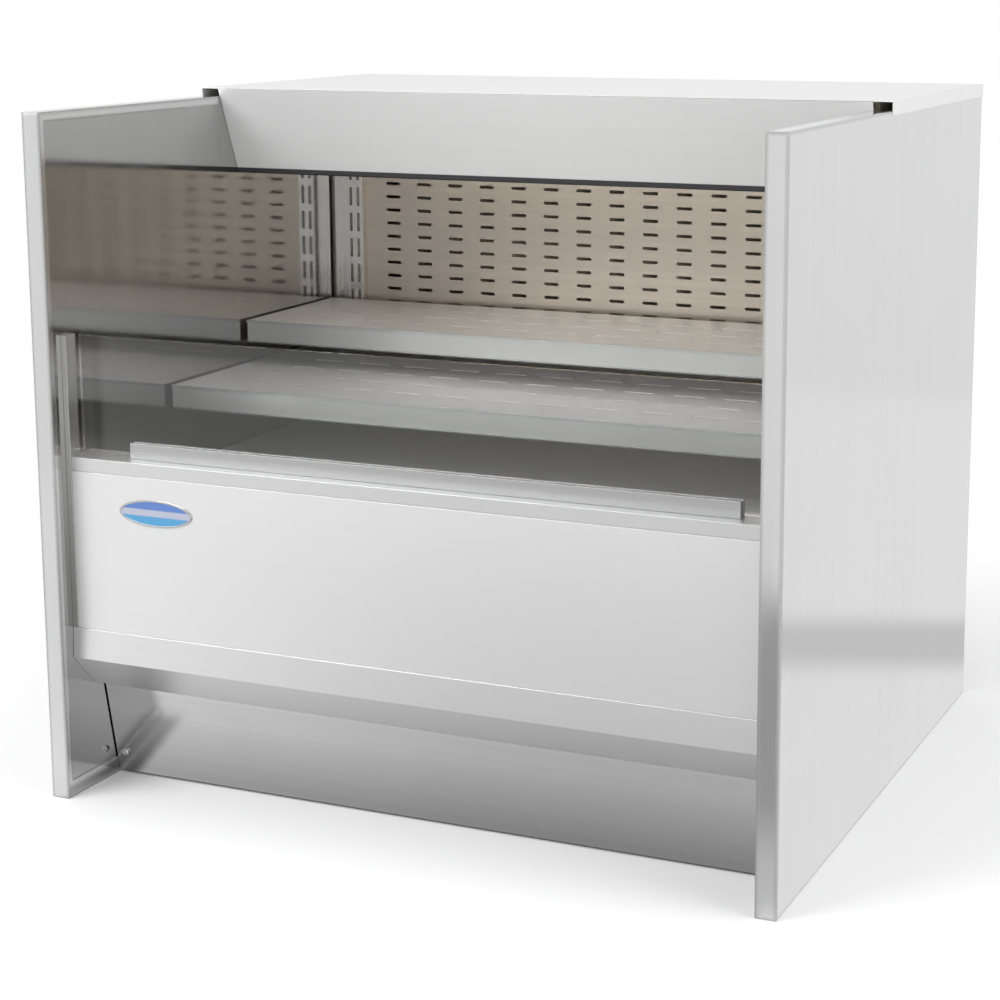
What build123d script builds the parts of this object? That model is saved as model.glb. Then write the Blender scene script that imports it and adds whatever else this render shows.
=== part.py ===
from build123d import *
import math
import os

# Undercounter refrigerated display case with an open front, stepped shelves and a riser glass.
# Millimetres. X runs to the right, Y to the back and Z up, from the middle of the footprint on the floor.
# Depths are counted back from the front edges of the end panels, and turned into Y by y_at().

# Overall size
PANEL_HEIGHT = 863.6
CASE_DEPTH = 863.6
CLEAR_WIDTH = 914.4

# Fits and sheet thicknesses
FIT_GAP = 0.3
SHEET = 1.2
THIN_SHEET = 1.0
OVERLAP = 1.0  # extra length of cuts that go right through and of bars that join

# End panels: a tray skin, a core and an inner liner
PANEL_SKIN = 1.2
PANEL_CORE = 22.0
PANEL_LINER = 1.0
PANEL_BEND_RADIUS = 2.0
PANEL_LIP_DEPTH = 10.0
PANEL_TOP_LIP = 12.0
PANEL_FOOT_LIP = 22.0

# Canopy
LID_RISE = 11.4
LID_FLANGE_HEIGHT = 17.0
CANOPY_FRONT_DEPTH = 399.0
FASCIA_FOOT_DEPTH = 443.0
FASCIA_FOOT_Z = 764.0
FASCIA_HEM = 12.7
FASCIA_TOP_FLANGE = 30.0
FASCIA_INNER_RISE = 48.0
EDGE_STRIP_HEIGHT = 7.0
EDGE_STRIP_CHAMFER = 1.75

# Insulated body, C-shaped in section
BODY_FRONT_DEPTH = 46.0
BODY_REAR_DEPTH = 825.0
BODY_BOTTOM_Z = 226.0
TUB_FRONT_DEPTH = 80.0
TUB_FLOOR_Z = 262.0
DUCT_REAR_DEPTH = 763.0
CANOPY_DUCT_TOP_Z = 836.0
BODY_TOP_FLANGE = 14.0
FOAM_CANOPY_FRONT_DEPTH = 430.0

# Ceiling panel, honeycomb and lamp
CEILING_Z = 800.0
HONEYCOMB_FRONT_DEPTH = 484.0
HONEYCOMB_DEPTH = 52.0
HONEYCOMB_HEIGHT = 18.0
HONEYCOMB_HALF_WIDTH = 430.0
HONEYCOMB_CELL = 9.0
HONEYCOMB_WALL = 1.0
HONEYCOMB_LEDGE = 4.0
LAMP_DEPTH = 18.0
LAMP_HOUSING_HEIGHT = 12.0
LAMP_HOUSING_WALL = 2.4
LAMP_LENS_HEIGHT = 7.0
LAMP_LENS_CHAMFER = 3.5
LAMP_HALF_LENGTH = 420.0
LAMP_SETBACK = 3.0

# Back wall
BACK_WALL_DEPTH = 712.0
SLOT_LENGTH = 23.0
SLOT_WIDTH = 4.5
SLOT_PITCH_X = 51.0
SLOT_PITCH_Z = 19.5
BACK_SLOTS_ACROSS = 15
BACK_SLOTS_UP = 19
BACK_SLOTS_LOW_Z = 410.0
BACK_LEG_WIDTH = 22.0
BACK_WINDOW_TOP_Z = 368.0
BACK_TOP_FLANGE = 15.0

# Shelf standards
STANDARD_INSET = 28.0
STANDARD_WIDTH = 26.0
STANDARD_DEPTH = 12.0
STANDARD_SHEET = 1.5
STANDARD_WING_INSET = 5.0
STANDARD_WING_SETBACK = 6.0
STANDARD_SLOT_INSETS = (35.0, 47.0)
STANDARD_SLOT_WIDTH = 4.5
STANDARD_SLOT_HEIGHT = 27.0
STANDARD_PITCH = 38.1
STANDARD_FIRST_SLOT_Z = 421.8
STANDARD_SLOTS = 9
STANDARD_FOOT_Z = 386.0

# Shelves
SHELF_HALF_WIDTH = 451.0
SHELF_REAR_DEPTH = 690.0
SHELF_SKIRT = 30.0
LOWER_SHELF_Z = 490.0
LOWER_SHELF_FRONT_DEPTH = 259.0
UPPER_SHELF_Z = 550.0
UPPER_SHELF_FRONT_DEPTH = 449.0
SHELF_SLOT_LENGTH = 46.0
SHELF_SLOT_WIDTH = 6.0
SHELF_SLOT_PITCH = 70.0
SHELF_SLOT_ROW_PITCH = 60.0
TAG_STRIP_HEIGHT = 31.0
TAG_STRIP_DEPTH = 4.0
TAG_LIP = 3.0
BRACKET_THICKNESS = 3.0
BRACKET_NOSE_HEIGHT = 18.0
BRACKET_NOSE_SETBACK = 32.0
LOWER_BRACKET_HEIGHT = 64.0
HOOK_NECK_HEIGHT = 10.0
HOOK_DROP = 6.0
HOOK_TONGUE = 4.0
HOOK_HEEL = 8.0
UPPER_BRACKET_CLEAR_Z = 505.0

# Deck, return grille and plenum
DECK_Z = 380.0
DECK_FRONT_DEPTH = 152.0
DECK_REAR_DEPTH = 696.0
DECK_HALF_WIDTH = 453.0
DECK_LIP = 20.0
GRILLE_Z = 386.0
GRILLE_FRONT_DEPTH = 84.0
GRILLE_REAR_DEPTH = 150.0
GRILLE_LEG_LENGTH = 60.0
GRILLE_SLOT_LENGTH = 28.0
GRILLE_SLOT_WIDTH = 6.0
GRILLE_SLOT_PITCH = 38.0
GRILLE_ROWS = 3
GRILLE_ROW_PITCH = 17.0
PLENUM_DEPTH = 330.0
PLENUM_HALF_WIDTH = 445.0
PLENUM_FLANGE = 20.0

# Evaporator and its fans
EVAPORATOR_HALF_WIDTH = 330.0
EVAPORATOR_FRONT_DEPTH = 400.0
EVAPORATOR_DEPTH = 160.0
EVAPORATOR_BOTTOM_Z = 268.0
EVAPORATOR_HEIGHT = 84.0
EVAPORATOR_FIN_PITCH = 15.0
EVAPORATOR_TUBE_ROWS = 4
EVAPORATOR_TUBE_LAYERS = 2
COIL_FIN = 1.0
COIL_END_PLATE = 2.0
COIL_TUBE_RADIUS = 5.0
FAN_OFFSET_X = 150.0
FAN_Z = 320.0
FAN_HOLE_RADIUS = 48.0
FAN_TIP_RADIUS = 44.0
FAN_HUB_RADIUS = 11.0
FAN_HUB_LENGTH = 16.0
FAN_BLADE_CHORD = 22.0
FAN_BLADE_THICKNESS = 1.6
FAN_BLADE_PITCH_DEG = 32.0
FAN_BLADES = 5
FAN_SHAFT_RADIUS = 2.5
FAN_SHAFT_SETBACK = 2.0
SHAFT_CLEARANCE = 0.06
FAN_MOTOR_RADIUS = 22.0
FAN_MOTOR_LENGTH = 40.0
FAN_MOTOR_SETBACK = 18.0
FAN_ARM_WIDTH = 8.0
FAN_ARM_THICKNESS = 3.0
FAN_ARM_REACH = 58.0

# Front: sill, glass, stiles, panels
SILL_Z = 438.0
SILL_FRONT_DEPTH = 26.8
SILL_LIP_HEIGHT = 17.0
SILL_REAR_LIP = 12.0
STILE_WIDTH = 7.2
STILE_FRONT_DEPTH = 26.0
STILE_DEPTH = 20.0
STILE_TOP_Z = 590.0
FRONT_SIDE_GAP = 0.3
CHANNEL_FRONT_DEPTH = 46.0
CHANNEL_HEIGHT = 19.6
CHANNEL_BASE = 3.0
CHANNEL_WALL = 4.7
CHANNEL_LEFT_INSET = 82.0
CHANNEL_RIGHT_INSET = 39.0
GLASS_THICKNESS = 6.0
GLASS_TOP_Z = 588.0
GLASS_END_INSET = 8.2
GLASS_CORNER_RADIUS = 1.5
FRONT_PANEL_RETURN = 12.0
BUMPER_TOP_Z = 219.0
BUMPER_TOP_DEPTH = 26.0
BUMPER_FACE_DEPTH = 23.5
BUMPER_FACE_BOTTOM_Z = 180.0
BUMPER_FOOT_DEPTH = 66.0
BUMPER_FOOT_Z = 135.0
BUMPER_FOOT_FLANGE = 12.0
KICK_FOOT_DEPTH = 111.2
KICK_FOOT_Z = 3.0
KICK_TOP_DEPTH = 85.5
KICK_TOP_Z = 134.5
KICK_HALF_WIDTH = 455.5
BADGE_X = -328.0
BADGE_Z = 377.0
BADGE_LENGTH = 104.0
BADGE_HEIGHT = 34.0
BADGE_THICKNESS = 1.5

# Base frame, feet and machine compartment
TUBE = 25.0
TUBE_WALL = 2.0
FRAME_BOTTOM_Z = 22.5
FRAME_FRONT_DEPTH = 125.0
RAIL_FRONT_DEPTH = 58.0
FOOT_INSET = 60.0
FOOT_CLEAR_Z = 2.0
FOOT_PAD_RADIUS = 19.0
FOOT_PAD_HEIGHT = 9.0
FOOT_PAD_CHAMFER = 3.0
FOOT_STUD_RADIUS = 5.0
FOOT_STUD_TOP_Z = 44.0
TRAY_HALF_WIDTH = 428.0
TRAY_LIP = 20.0
CONDENSER_LEFT_X = -380.0
CONDENSER_RIGHT_X = -60.0
CONDENSER_FRONT_DEPTH = 152.0
CONDENSER_DEPTH = 40.0
CONDENSER_HEIGHT = 140.0
CONDENSER_FIN_PITCH = 10.0
CONDENSER_TUBE_ROWS = 2
CONDENSER_TUBE_LAYERS = 4
SHROUD_GAP = 16.0
COND_FAN_HOLE_RADIUS = 60.0
COND_FAN_TIP_RADIUS = 56.0
COND_FAN_HUB_RADIUS = 16.0
COND_FAN_HUB_LENGTH = 20.0
COND_FAN_CHORD = 30.0
COND_MOTOR_RADIUS = 30.0
COND_MOTOR_LENGTH = 56.0
COND_MOTOR_FOOT = 50.0
COND_MOTOR_FOOT_THICKNESS = 2.4
COND_MOTOR_FOOT_SETBACK = 6.0
COND_MOTOR_POST_WIDTH = 25.0
COND_MOTOR_POST_SETBACK = 12.0
COMPRESSOR_X = 200.0
COMPRESSOR_DEPTH = 340.0
COMPRESSOR_RADIUS = 75.0
COMPRESSOR_HEIGHT = 128.0
COMPRESSOR_SHOULDER = 28.0
COMPRESSOR_BASE_SIZE = 170.0
COMPRESSOR_BASE_THICKNESS = 3.0
COMPRESSOR_GROMMET_RADIUS = 11.0
COMPRESSOR_GROMMET_HEIGHT = 10.0
COMPRESSOR_GROMMET_PROUD = 4.0
COMPRESSOR_GROMMET_INSET = 13.0
COMPRESSOR_TERMINAL = 50.0
COMPRESSOR_TERMINAL_RISE = 10.0
COMPRESSOR_TERMINAL_SINK = 8.0
COMPRESSOR_TERMINAL_PROUD = 18.0
DRAIN_X = -250.0
DRAIN_DEPTH = 690.0
DRAIN_RADIUS = 11.0
DRAIN_BORE_RADIUS = 9.0
DRAIN_FLANGE_RADIUS = 18.0
DRAIN_END_Z = 74.0
PAN_LEFT_X = -400.0
PAN_RIGHT_X = -110.0
PAN_FRONT_DEPTH = 560.0
PAN_REAR_DEPTH = 770.0
PAN_HEIGHT = 38.0
PAN_WALL = 2.4
LINE_HOLE_X = 386.0
LINE_HOLE_DEPTH = 510.0
LINE_HOLE_RADIUS = 20.0
SUCTION_RADIUS = 5.0
LIQUID_RADIUS = 3.0
LINE_BEND_RADIUS = 20.0
SUCTION_OFFSET_X = -8.0
LIQUID_OFFSET_X = 10.0
LINE_OFFSET_DEPTH = 4.0
SUCTION_COIL_Z = 320.0
LIQUID_COIL_Z = 290.0
SUCTION_RUN_Z = 150.0
LIQUID_RUN_Z = 175.0
DISCHARGE_Z = 110.0
DISCHARGE_RUN = 60.0

# Rear panel and control box
REAR_PANEL_HALF_WIDTH = 455.5
REAR_PANEL_BOTTOM_Z = 14.0
REAR_PANEL_TOP_Z = 224.0
LOUVRE_LENGTH = 60.0
LOUVRE_WIDTH = 7.0
LOUVRE_PITCH_X = 76.0
LOUVRE_PITCH_Z = 16.0
LOUVRES_ACROSS = 7
LOUVRES_UP = 8
LOUVRE_CENTRE_X = -130.0
LOUVRE_CENTRE_Z = 128.0
BOX_LEFT_X = 245.0
BOX_RIGHT_X = 405.0
BOX_FRONT_DEPTH = 745.0
BOX_REAR_DEPTH = 831.0
BOX_TOP_Z = 196.0
BOX_WALL = 1.5
POWER_SWITCH_X = 275.0
LAMP_SWITCH_X = 315.0
SWITCH_Z = 155.0
ROCKER_RADIUS = 14.0
ROCKER_HALF_WIDTH = 6.0
ROCKER_HALF_HEIGHT = 9.0
ROCKER_PIVOT_SETBACK = 10.0
ROCKER_PIVOT_RADIUS = 1.5
ROCKER_PIVOT_REACH = 2.0
ROCKER_BACK = 3.0
ROCKER_DISH_SETBACK = 44.8
ROCKER_DISH_RADIUS = 32.9
ROCKER_END_ROOM = 2.5
ROCKER_BACK_ROOM = 8.0
SWITCH_BLOCK_MARGIN = 4.0
SWITCH_BLOCK_DEPTH = 24.0
KNOB_X = 365.0
KNOB_Z = 155.0
KNOB_RADIUS = 14.0
KNOB_HEIGHT = 15.0
KNOB_CHAMFER = 1.5
KNOB_CAP = 2.0
KNOB_SHAFT_RADIUS = 3.0
KNOB_SHAFT_LENGTH = 12.0
KNOB_POINTER_WIDTH = 3.0
KNOB_POINTER_REACH = 12.0
KNOB_POINTER_ROOT = 3.0
KNOB_POINTER_PROUD = 2.0
GLAND_X = 380.0
GLAND_Z = 95.0
GLAND_NUT_FLATS = 24.0
GLAND_NUT_LENGTH = 7.0
GLAND_DOME_RADIUS = 9.5
GLAND_DOME_LENGTH = 11.0
GLAND_DOME_CHAMFER = 3.0
GLAND_BORE_RADIUS = 4.5

# Screws
SCREW_HEAD_RADIUS = 4.5
SCREW_HEAD_HEIGHT = 2.4
SCREW_SHANK_RADIUS = 2.0
SCREW_HOLE_RADIUS = 2.3
SCREW_RECESS_RADIUS = 1.6
SCREW_RECESS_DEPTH = 1.2
KICK_SCREW_INSET = 16.0
KICK_SCREW_Z = 30.0
REAR_SCREW_INSET = 14.0

# Values that follow from the sizes above
half_clear = CLEAR_WIDTH / 2
liner_back = half_clear + PANEL_LINER
core_back = liner_back + PANEL_CORE
skin_out = core_back + PANEL_SKIN
lid_half = skin_out + SHEET
lid_top = PANEL_HEIGHT + LID_RISE
lid_under = lid_top - SHEET
body_half = half_clear - FIT_GAP
sill_under = SILL_Z - SHEET
wall_top = sill_under - FIT_GAP
sill_rear_depth = TUB_FRONT_DEPTH + SHEET + FIT_GAP
front_half = half_clear - STILE_WIDTH - FRONT_SIDE_GAP
front_panel_depth = SILL_FRONT_DEPTH
front_panel_top = SILL_Z - SILL_LIP_HEIGHT - FIT_GAP
glass_front_depth = CHANNEL_FRONT_DEPTH + CHANNEL_WALL + FIT_GAP
channel_depth = GLASS_THICKNESS + 2 * (CHANNEL_WALL + FIT_GAP)
frame_top = BODY_BOTTOM_Z - FIT_GAP
tray_z = FRAME_BOTTOM_Z + TUBE + FIT_GAP
tray_top = tray_z + SHEET
machine_floor = tray_top + FIT_GAP
standard_face_depth = BACK_WALL_DEPTH - STANDARD_DEPTH - FIT_GAP
bracket_x = half_clear - STANDARD_SLOT_INSETS[0]
fascia_back_depth = FASCIA_FOOT_DEPTH + FASCIA_HEM
ceiling_front_depth = fascia_back_depth + FIT_GAP
condenser_x = (CONDENSER_LEFT_X + CONDENSER_RIGHT_X) / 2
condenser_fan_z = machine_floor + CONDENSER_HEIGHT / 2
shroud_depth = CONDENSER_FRONT_DEPTH + CONDENSER_DEPTH + SHROUD_GAP


def y_at(depth):
    """Y of a plane that lies this far behind the front edges of the end panels."""
    return depth - CASE_DEPTH / 2


def block(x0, x1, depth0, depth1, z0, z1):
    """Box between two corners, with depths counted from the front."""
    corner = Pos(x0, y_at(depth0), z0)
    return corner * Box(x1 - x0, depth1 - depth0, z1 - z0, align=(Align.MIN, Align.MIN, Align.MIN))


def section_face(points):
    """Face in the side view, from (depth, z) points."""
    corners = [(y_at(depth), z) for depth, z in points]
    return Plane.YZ * make_face(Polyline(*corners, close=True))


def section_bar(points, x0, x1):
    """Solid with one side-view section between two X planes."""
    return Pos(x0, 0, 0) * extrude(section_face(points), amount=x1 - x0)


def sheet_outline(path, thickness):
    """Outline of a folded sheet: the path is one surface, and the sheet lies on its left (or right, if negative)."""
    normals = []
    for (a0, b0), (a1, b1) in zip(path, path[1:]):
        length = math.hypot(a1 - a0, b1 - b0)
        normals.append((-(b1 - b0) / length, (a1 - a0) / length))
    other = [(path[0][0] + thickness * normals[0][0], path[0][1] + thickness * normals[0][1])]
    for (a, b), (n0, m0), (n1, m1) in zip(path[1:-1], normals, normals[1:]):
        scale = thickness / (1 + n0 * n1 + m0 * m1)
        other.append((a + scale * (n0 + n1), b + scale * (m0 + m1)))
    last = normals[-1]
    other.append((path[-1][0] + thickness * last[0], path[-1][1] + thickness * last[1]))
    return list(path) + other[::-1]


def folded_sheet(path, thickness, half_width):
    """Folded sheet with one side-view section across the case."""
    return section_bar(sheet_outline(path, thickness), -half_width, half_width)


def upright_plate(outline, depth, thickness):
    """Plate across the case from a sketch in X and Z, with its front face at this depth."""
    plane = Plane(origin=(0, y_at(depth), 0), x_dir=(1, 0, 0), z_dir=(0, -1, 0))
    return extrude(plane * outline, amount=-thickness)


def level_plate(outline, z, thickness):
    """Plate from a sketch in X and Y, with its lower face at this height."""
    return extrude(Pos(0, 0, z) * outline, amount=thickness)


def centred_rectangle(x0, x1, z0, z1):
    """Rectangle sketch between two corners."""
    return Pos((x0 + x1) / 2, (z0 + z1) / 2) * Rectangle(x1 - x0, z1 - z0)


def pierced(sheet, holes):
    """Sketch of a sheet with a list of hole sketches taken out."""
    outer = sheet.face().outer_wire()
    return Sketch() + Face(outer, [hole.face().outer_wire() for hole in holes])


def rod_y(x, depth0, depth1, z, radius):
    """Round bar along Y."""
    axis_plane = Plane(origin=(x, y_at(depth0), z), x_dir=(1, 0, 0), z_dir=(0, 1, 0))
    return extrude(axis_plane * Circle(radius), amount=depth1 - depth0)


def rod_x(x0, x1, depth, z, radius):
    """Round bar along X."""
    axis_plane = Plane(origin=(x0, y_at(depth), z), x_dir=(0, 1, 0), z_dir=(1, 0, 0))
    return extrude(axis_plane * Circle(radius), amount=x1 - x0)


def rod_z(x, depth, z0, z1, radius):
    """Round bar along Z."""
    return Pos(x, y_at(depth), z0) * extrude(Circle(radius), amount=z1 - z0)


def both_sides(shape):
    """A piece and its mirror image on the other side of the case."""
    return Compound(children=[*shape.solids(), *mirror(shape, about=Plane.YZ).solids()])


def mirrored(shape):
    """The left-hand piece that matches a right-hand one."""
    return mirror(shape, about=Plane.YZ)


# End panels


def end_panel_skin():
    """Right-hand outer skin: a tray with its edges turned in, lipped along the front, top and foot."""
    tray = block(half_clear, skin_out, 0, CASE_DEPTH, 0, PANEL_HEIGHT)
    tray = fillet(tray.faces().sort_by(Axis.X)[-1].edges(), PANEL_BEND_RADIUS)
    hollow = block(
        half_clear - PANEL_SKIN,
        core_back,
        PANEL_SKIN,
        CASE_DEPTH - PANEL_SKIN,
        PANEL_SKIN,
        PANEL_HEIGHT - PANEL_SKIN,
    )
    front_lip = block(half_clear - PANEL_SKIN, half_clear, 0, PANEL_LIP_DEPTH, 0, PANEL_HEIGHT)
    foot_lip = block(half_clear - PANEL_SKIN, half_clear, 0, CASE_DEPTH, 0, PANEL_FOOT_LIP)
    top_lip = block(
        half_clear - PANEL_SKIN,
        half_clear,
        0,
        CANOPY_FRONT_DEPTH - FIT_GAP,
        PANEL_HEIGHT - PANEL_TOP_LIP,
        PANEL_HEIGHT,
    )
    return tray - hollow + front_lip + top_lip + foot_lip


def end_panel_core():
    """Right-hand insulating core, a board that fills the tray behind the liner."""
    margin = PANEL_SKIN + FIT_GAP
    return block(
        liner_back, core_back, margin, CASE_DEPTH - margin, margin, PANEL_HEIGHT - margin
    )


def end_panel_liner():
    """Right-hand inner liner, tucked behind the tray's front, top and foot lips."""
    margin = PANEL_SKIN + FIT_GAP
    return block(
        half_clear, liner_back, margin, CASE_DEPTH - margin, margin, PANEL_HEIGHT - margin
    )


# Canopy


def canopy_lid():
    """Top sheet with side flanges over the end panels and a rear flange."""
    top = block(-lid_half, lid_half, CANOPY_FRONT_DEPTH, CASE_DEPTH, lid_under, lid_top)
    flange_foot = lid_top - LID_FLANGE_HEIGHT
    side = block(skin_out, lid_half, CANOPY_FRONT_DEPTH, CASE_DEPTH, flange_foot, lid_top)
    rear = block(-lid_half, lid_half, CASE_DEPTH - SHEET, CASE_DEPTH, PANEL_HEIGHT + FIT_GAP, lid_top)
    return top + side + mirrored(side) + rear


def fascia_path():
    """Outer surface of the fascia, from under the lid down the face and back up behind the hem."""
    return [
        (CANOPY_FRONT_DEPTH + FASCIA_TOP_FLANGE, lid_under - FIT_GAP),
        (CANOPY_FRONT_DEPTH, lid_under - FIT_GAP),
        (FASCIA_FOOT_DEPTH, FASCIA_FOOT_Z),
        (fascia_back_depth, FASCIA_FOOT_Z),
        (fascia_back_depth, FASCIA_FOOT_Z + FASCIA_INNER_RISE),
    ]


def canopy_fascia():
    """Front of the canopy: leans back on its way down and is hemmed at the foot."""
    return folded_sheet(fascia_path(), SHEET, body_half)


def fascia_edge_strip():
    """Dark rubber strip under the fascia's foot."""
    top = FASCIA_FOOT_Z - FIT_GAP
    outline = [
        (FASCIA_FOOT_DEPTH, top),
        (FASCIA_FOOT_DEPTH, top - EDGE_STRIP_HEIGHT + EDGE_STRIP_CHAMFER),
        (FASCIA_FOOT_DEPTH + EDGE_STRIP_CHAMFER, top - EDGE_STRIP_HEIGHT),
        (fascia_back_depth, top - EDGE_STRIP_HEIGHT),
        (fascia_back_depth, top),
    ]
    return section_bar(outline, -body_half, body_half)


def ceiling_panel():
    """Ceiling of the display space, with an opening for the air curtain."""
    path = [
        (ceiling_front_depth, CANOPY_DUCT_TOP_Z - FIT_GAP),
        (ceiling_front_depth, CEILING_Z),
        (BACK_WALL_DEPTH + THIN_SHEET, CEILING_Z),
    ]
    sheet = folded_sheet(path, THIN_SHEET, body_half)
    window_half = HONEYCOMB_HALF_WIDTH - HONEYCOMB_LEDGE
    window = block(
        -window_half,
        window_half,
        HONEYCOMB_FRONT_DEPTH + HONEYCOMB_LEDGE,
        HONEYCOMB_FRONT_DEPTH + HONEYCOMB_DEPTH - HONEYCOMB_LEDGE,
        CEILING_Z - THIN_SHEET,
        CEILING_Z + 2 * THIN_SHEET,
    )
    return sheet - window


def air_curtain_honeycomb():
    """Cell block that straightens the cold air on its way down across the open front."""
    pitch = HONEYCOMB_CELL + HONEYCOMB_WALL
    across = int((2 * HONEYCOMB_HALF_WIDTH - HONEYCOMB_WALL) // pitch)
    deep = int((HONEYCOMB_DEPTH - HONEYCOMB_WALL) // pitch)
    middle = Pos(0, y_at(HONEYCOMB_FRONT_DEPTH + HONEYCOMB_DEPTH / 2))
    frame_face = middle * Rectangle(2 * HONEYCOMB_HALF_WIDTH, HONEYCOMB_DEPTH)
    cells = [
        middle * spot * Rectangle(HONEYCOMB_CELL, HONEYCOMB_CELL)
        for spot in GridLocations(pitch, pitch, across, deep)
    ]
    return level_plate(pierced(frame_face, cells), CEILING_Z + THIN_SHEET, HONEYCOMB_HEIGHT)


def lamp_housing():
    """Channel that carries the lamp under the front of the ceiling."""
    front = ceiling_front_depth + LAMP_SETBACK
    top = CEILING_Z - FIT_GAP
    foot = top - LAMP_HOUSING_HEIGHT
    body = block(-LAMP_HALF_LENGTH, LAMP_HALF_LENGTH, front, front + LAMP_DEPTH, foot, top)
    groove = block(
        -LAMP_HALF_LENGTH,
        LAMP_HALF_LENGTH,
        front + LAMP_HOUSING_WALL,
        front + LAMP_DEPTH - LAMP_HOUSING_WALL,
        foot,
        top - LAMP_HOUSING_WALL,
    )
    end_cap = block(
        LAMP_HALF_LENGTH - LAMP_HOUSING_WALL, LAMP_HALF_LENGTH, front, front + LAMP_DEPTH, foot, top
    )
    return body - groove + end_cap + mirrored(end_cap)


def lamp_lens():
    """Half-round diffuser below the lamp housing."""
    front = ceiling_front_depth + LAMP_SETBACK
    top = CEILING_Z - LAMP_HOUSING_HEIGHT - 2 * FIT_GAP
    outline = [
        (front, top),
        (front, top - LAMP_LENS_CHAMFER),
        (front + LAMP_LENS_CHAMFER, top - LAMP_LENS_HEIGHT),
        (front + LAMP_DEPTH - LAMP_LENS_CHAMFER, top - LAMP_LENS_HEIGHT),
        (front + LAMP_DEPTH, top - LAMP_LENS_CHAMFER),
        (front + LAMP_DEPTH, top),
    ]
    return section_bar(outline, -LAMP_HALF_LENGTH, LAMP_HALF_LENGTH)


# Insulated body


def outer_shell_path():
    """Outer surface of the body: over the front wall, under the tub and up the back."""
    return [
        (BODY_FRONT_DEPTH + BODY_TOP_FLANGE, wall_top),
        (BODY_FRONT_DEPTH, wall_top),
        (BODY_FRONT_DEPTH, BODY_BOTTOM_Z),
        (BODY_REAR_DEPTH, BODY_BOTTOM_Z),
        (BODY_REAR_DEPTH, lid_under - FIT_GAP),
    ]


def liner_path():
    """Inner surface of the tub, the rear duct and the canopy duct."""
    return [
        (BODY_FRONT_DEPTH + BODY_TOP_FLANGE + FIT_GAP, wall_top),
        (TUB_FRONT_DEPTH, wall_top),
        (TUB_FRONT_DEPTH, TUB_FLOOR_Z),
        (DUCT_REAR_DEPTH, TUB_FLOOR_Z),
        (DUCT_REAR_DEPTH, CANOPY_DUCT_TOP_Z),
        (FOAM_CANOPY_FRONT_DEPTH, CANOPY_DUCT_TOP_Z),
    ]


def body_passages():
    """Drain and refrigerant line holes through the floor of the body."""
    low = BODY_BOTTOM_Z - SHEET
    high = TUB_FLOOR_Z + SHEET
    drain = rod_z(DRAIN_X, DRAIN_DEPTH, low, high, DRAIN_RADIUS + FIT_GAP)
    lines = rod_z(LINE_HOLE_X, LINE_HOLE_DEPTH, low, high, LINE_HOLE_RADIUS)
    return drain + lines


def body_outer_shell():
    """Outer skin of the insulated body."""
    return folded_sheet(outer_shell_path(), SHEET, body_half) - body_passages()


def body_liner():
    """Inner skin of the insulated body."""
    return folded_sheet(liner_path(), -THIN_SHEET, body_half) - body_passages()


def body_foam():
    """Foamed-in-place insulation between the two skins."""
    outline = [
        (BODY_FRONT_DEPTH + SHEET, wall_top - SHEET),
        (BODY_FRONT_DEPTH + SHEET, BODY_BOTTOM_Z + SHEET),
        (BODY_REAR_DEPTH - SHEET, BODY_BOTTOM_Z + SHEET),
        (BODY_REAR_DEPTH - SHEET, lid_under - FIT_GAP),
        (CANOPY_FRONT_DEPTH + FASCIA_TOP_FLANGE + FIT_GAP, lid_under - FIT_GAP),
        (CANOPY_FRONT_DEPTH + FASCIA_TOP_FLANGE + FIT_GAP, CANOPY_DUCT_TOP_Z + THIN_SHEET),
        (DUCT_REAR_DEPTH + THIN_SHEET, CANOPY_DUCT_TOP_Z + THIN_SHEET),
        (DUCT_REAR_DEPTH + THIN_SHEET, TUB_FLOOR_Z - THIN_SHEET),
        (TUB_FRONT_DEPTH - THIN_SHEET, TUB_FLOOR_Z - THIN_SHEET),
        (TUB_FRONT_DEPTH - THIN_SHEET, wall_top - SHEET),
    ]
    return section_bar(outline, -body_half, body_half) - body_passages()


# Back wall and shelf standards


def back_wall_panel():
    """Slotted back wall in front of the rear duct, standing on two legs beside the duct's mouth."""
    top = CEILING_Z - FIT_GAP
    foot = TUB_FLOOR_Z + FIT_GAP
    sheet = centred_rectangle(-body_half, body_half, foot, top)
    window_half = body_half - BACK_LEG_WIDTH
    sheet -= centred_rectangle(-window_half, window_half, foot, BACK_WINDOW_TOP_Z)
    slots_middle = BACK_SLOTS_LOW_Z + SLOT_PITCH_Z * (BACK_SLOTS_UP - 1) / 2
    slots = [
        Pos(0, slots_middle) * spot * SlotOverall(SLOT_LENGTH, SLOT_WIDTH)
        for spot in GridLocations(SLOT_PITCH_X, SLOT_PITCH_Z, BACK_SLOTS_ACROSS, BACK_SLOTS_UP)
    ]
    plate = upright_plate(pierced(sheet, slots), BACK_WALL_DEPTH, THIN_SHEET)
    flange = block(
        -body_half,
        body_half,
        BACK_WALL_DEPTH,
        BACK_WALL_DEPTH + BACK_TOP_FLANGE,
        top - THIN_SHEET,
        top,
    )
    return plate + flange


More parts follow.
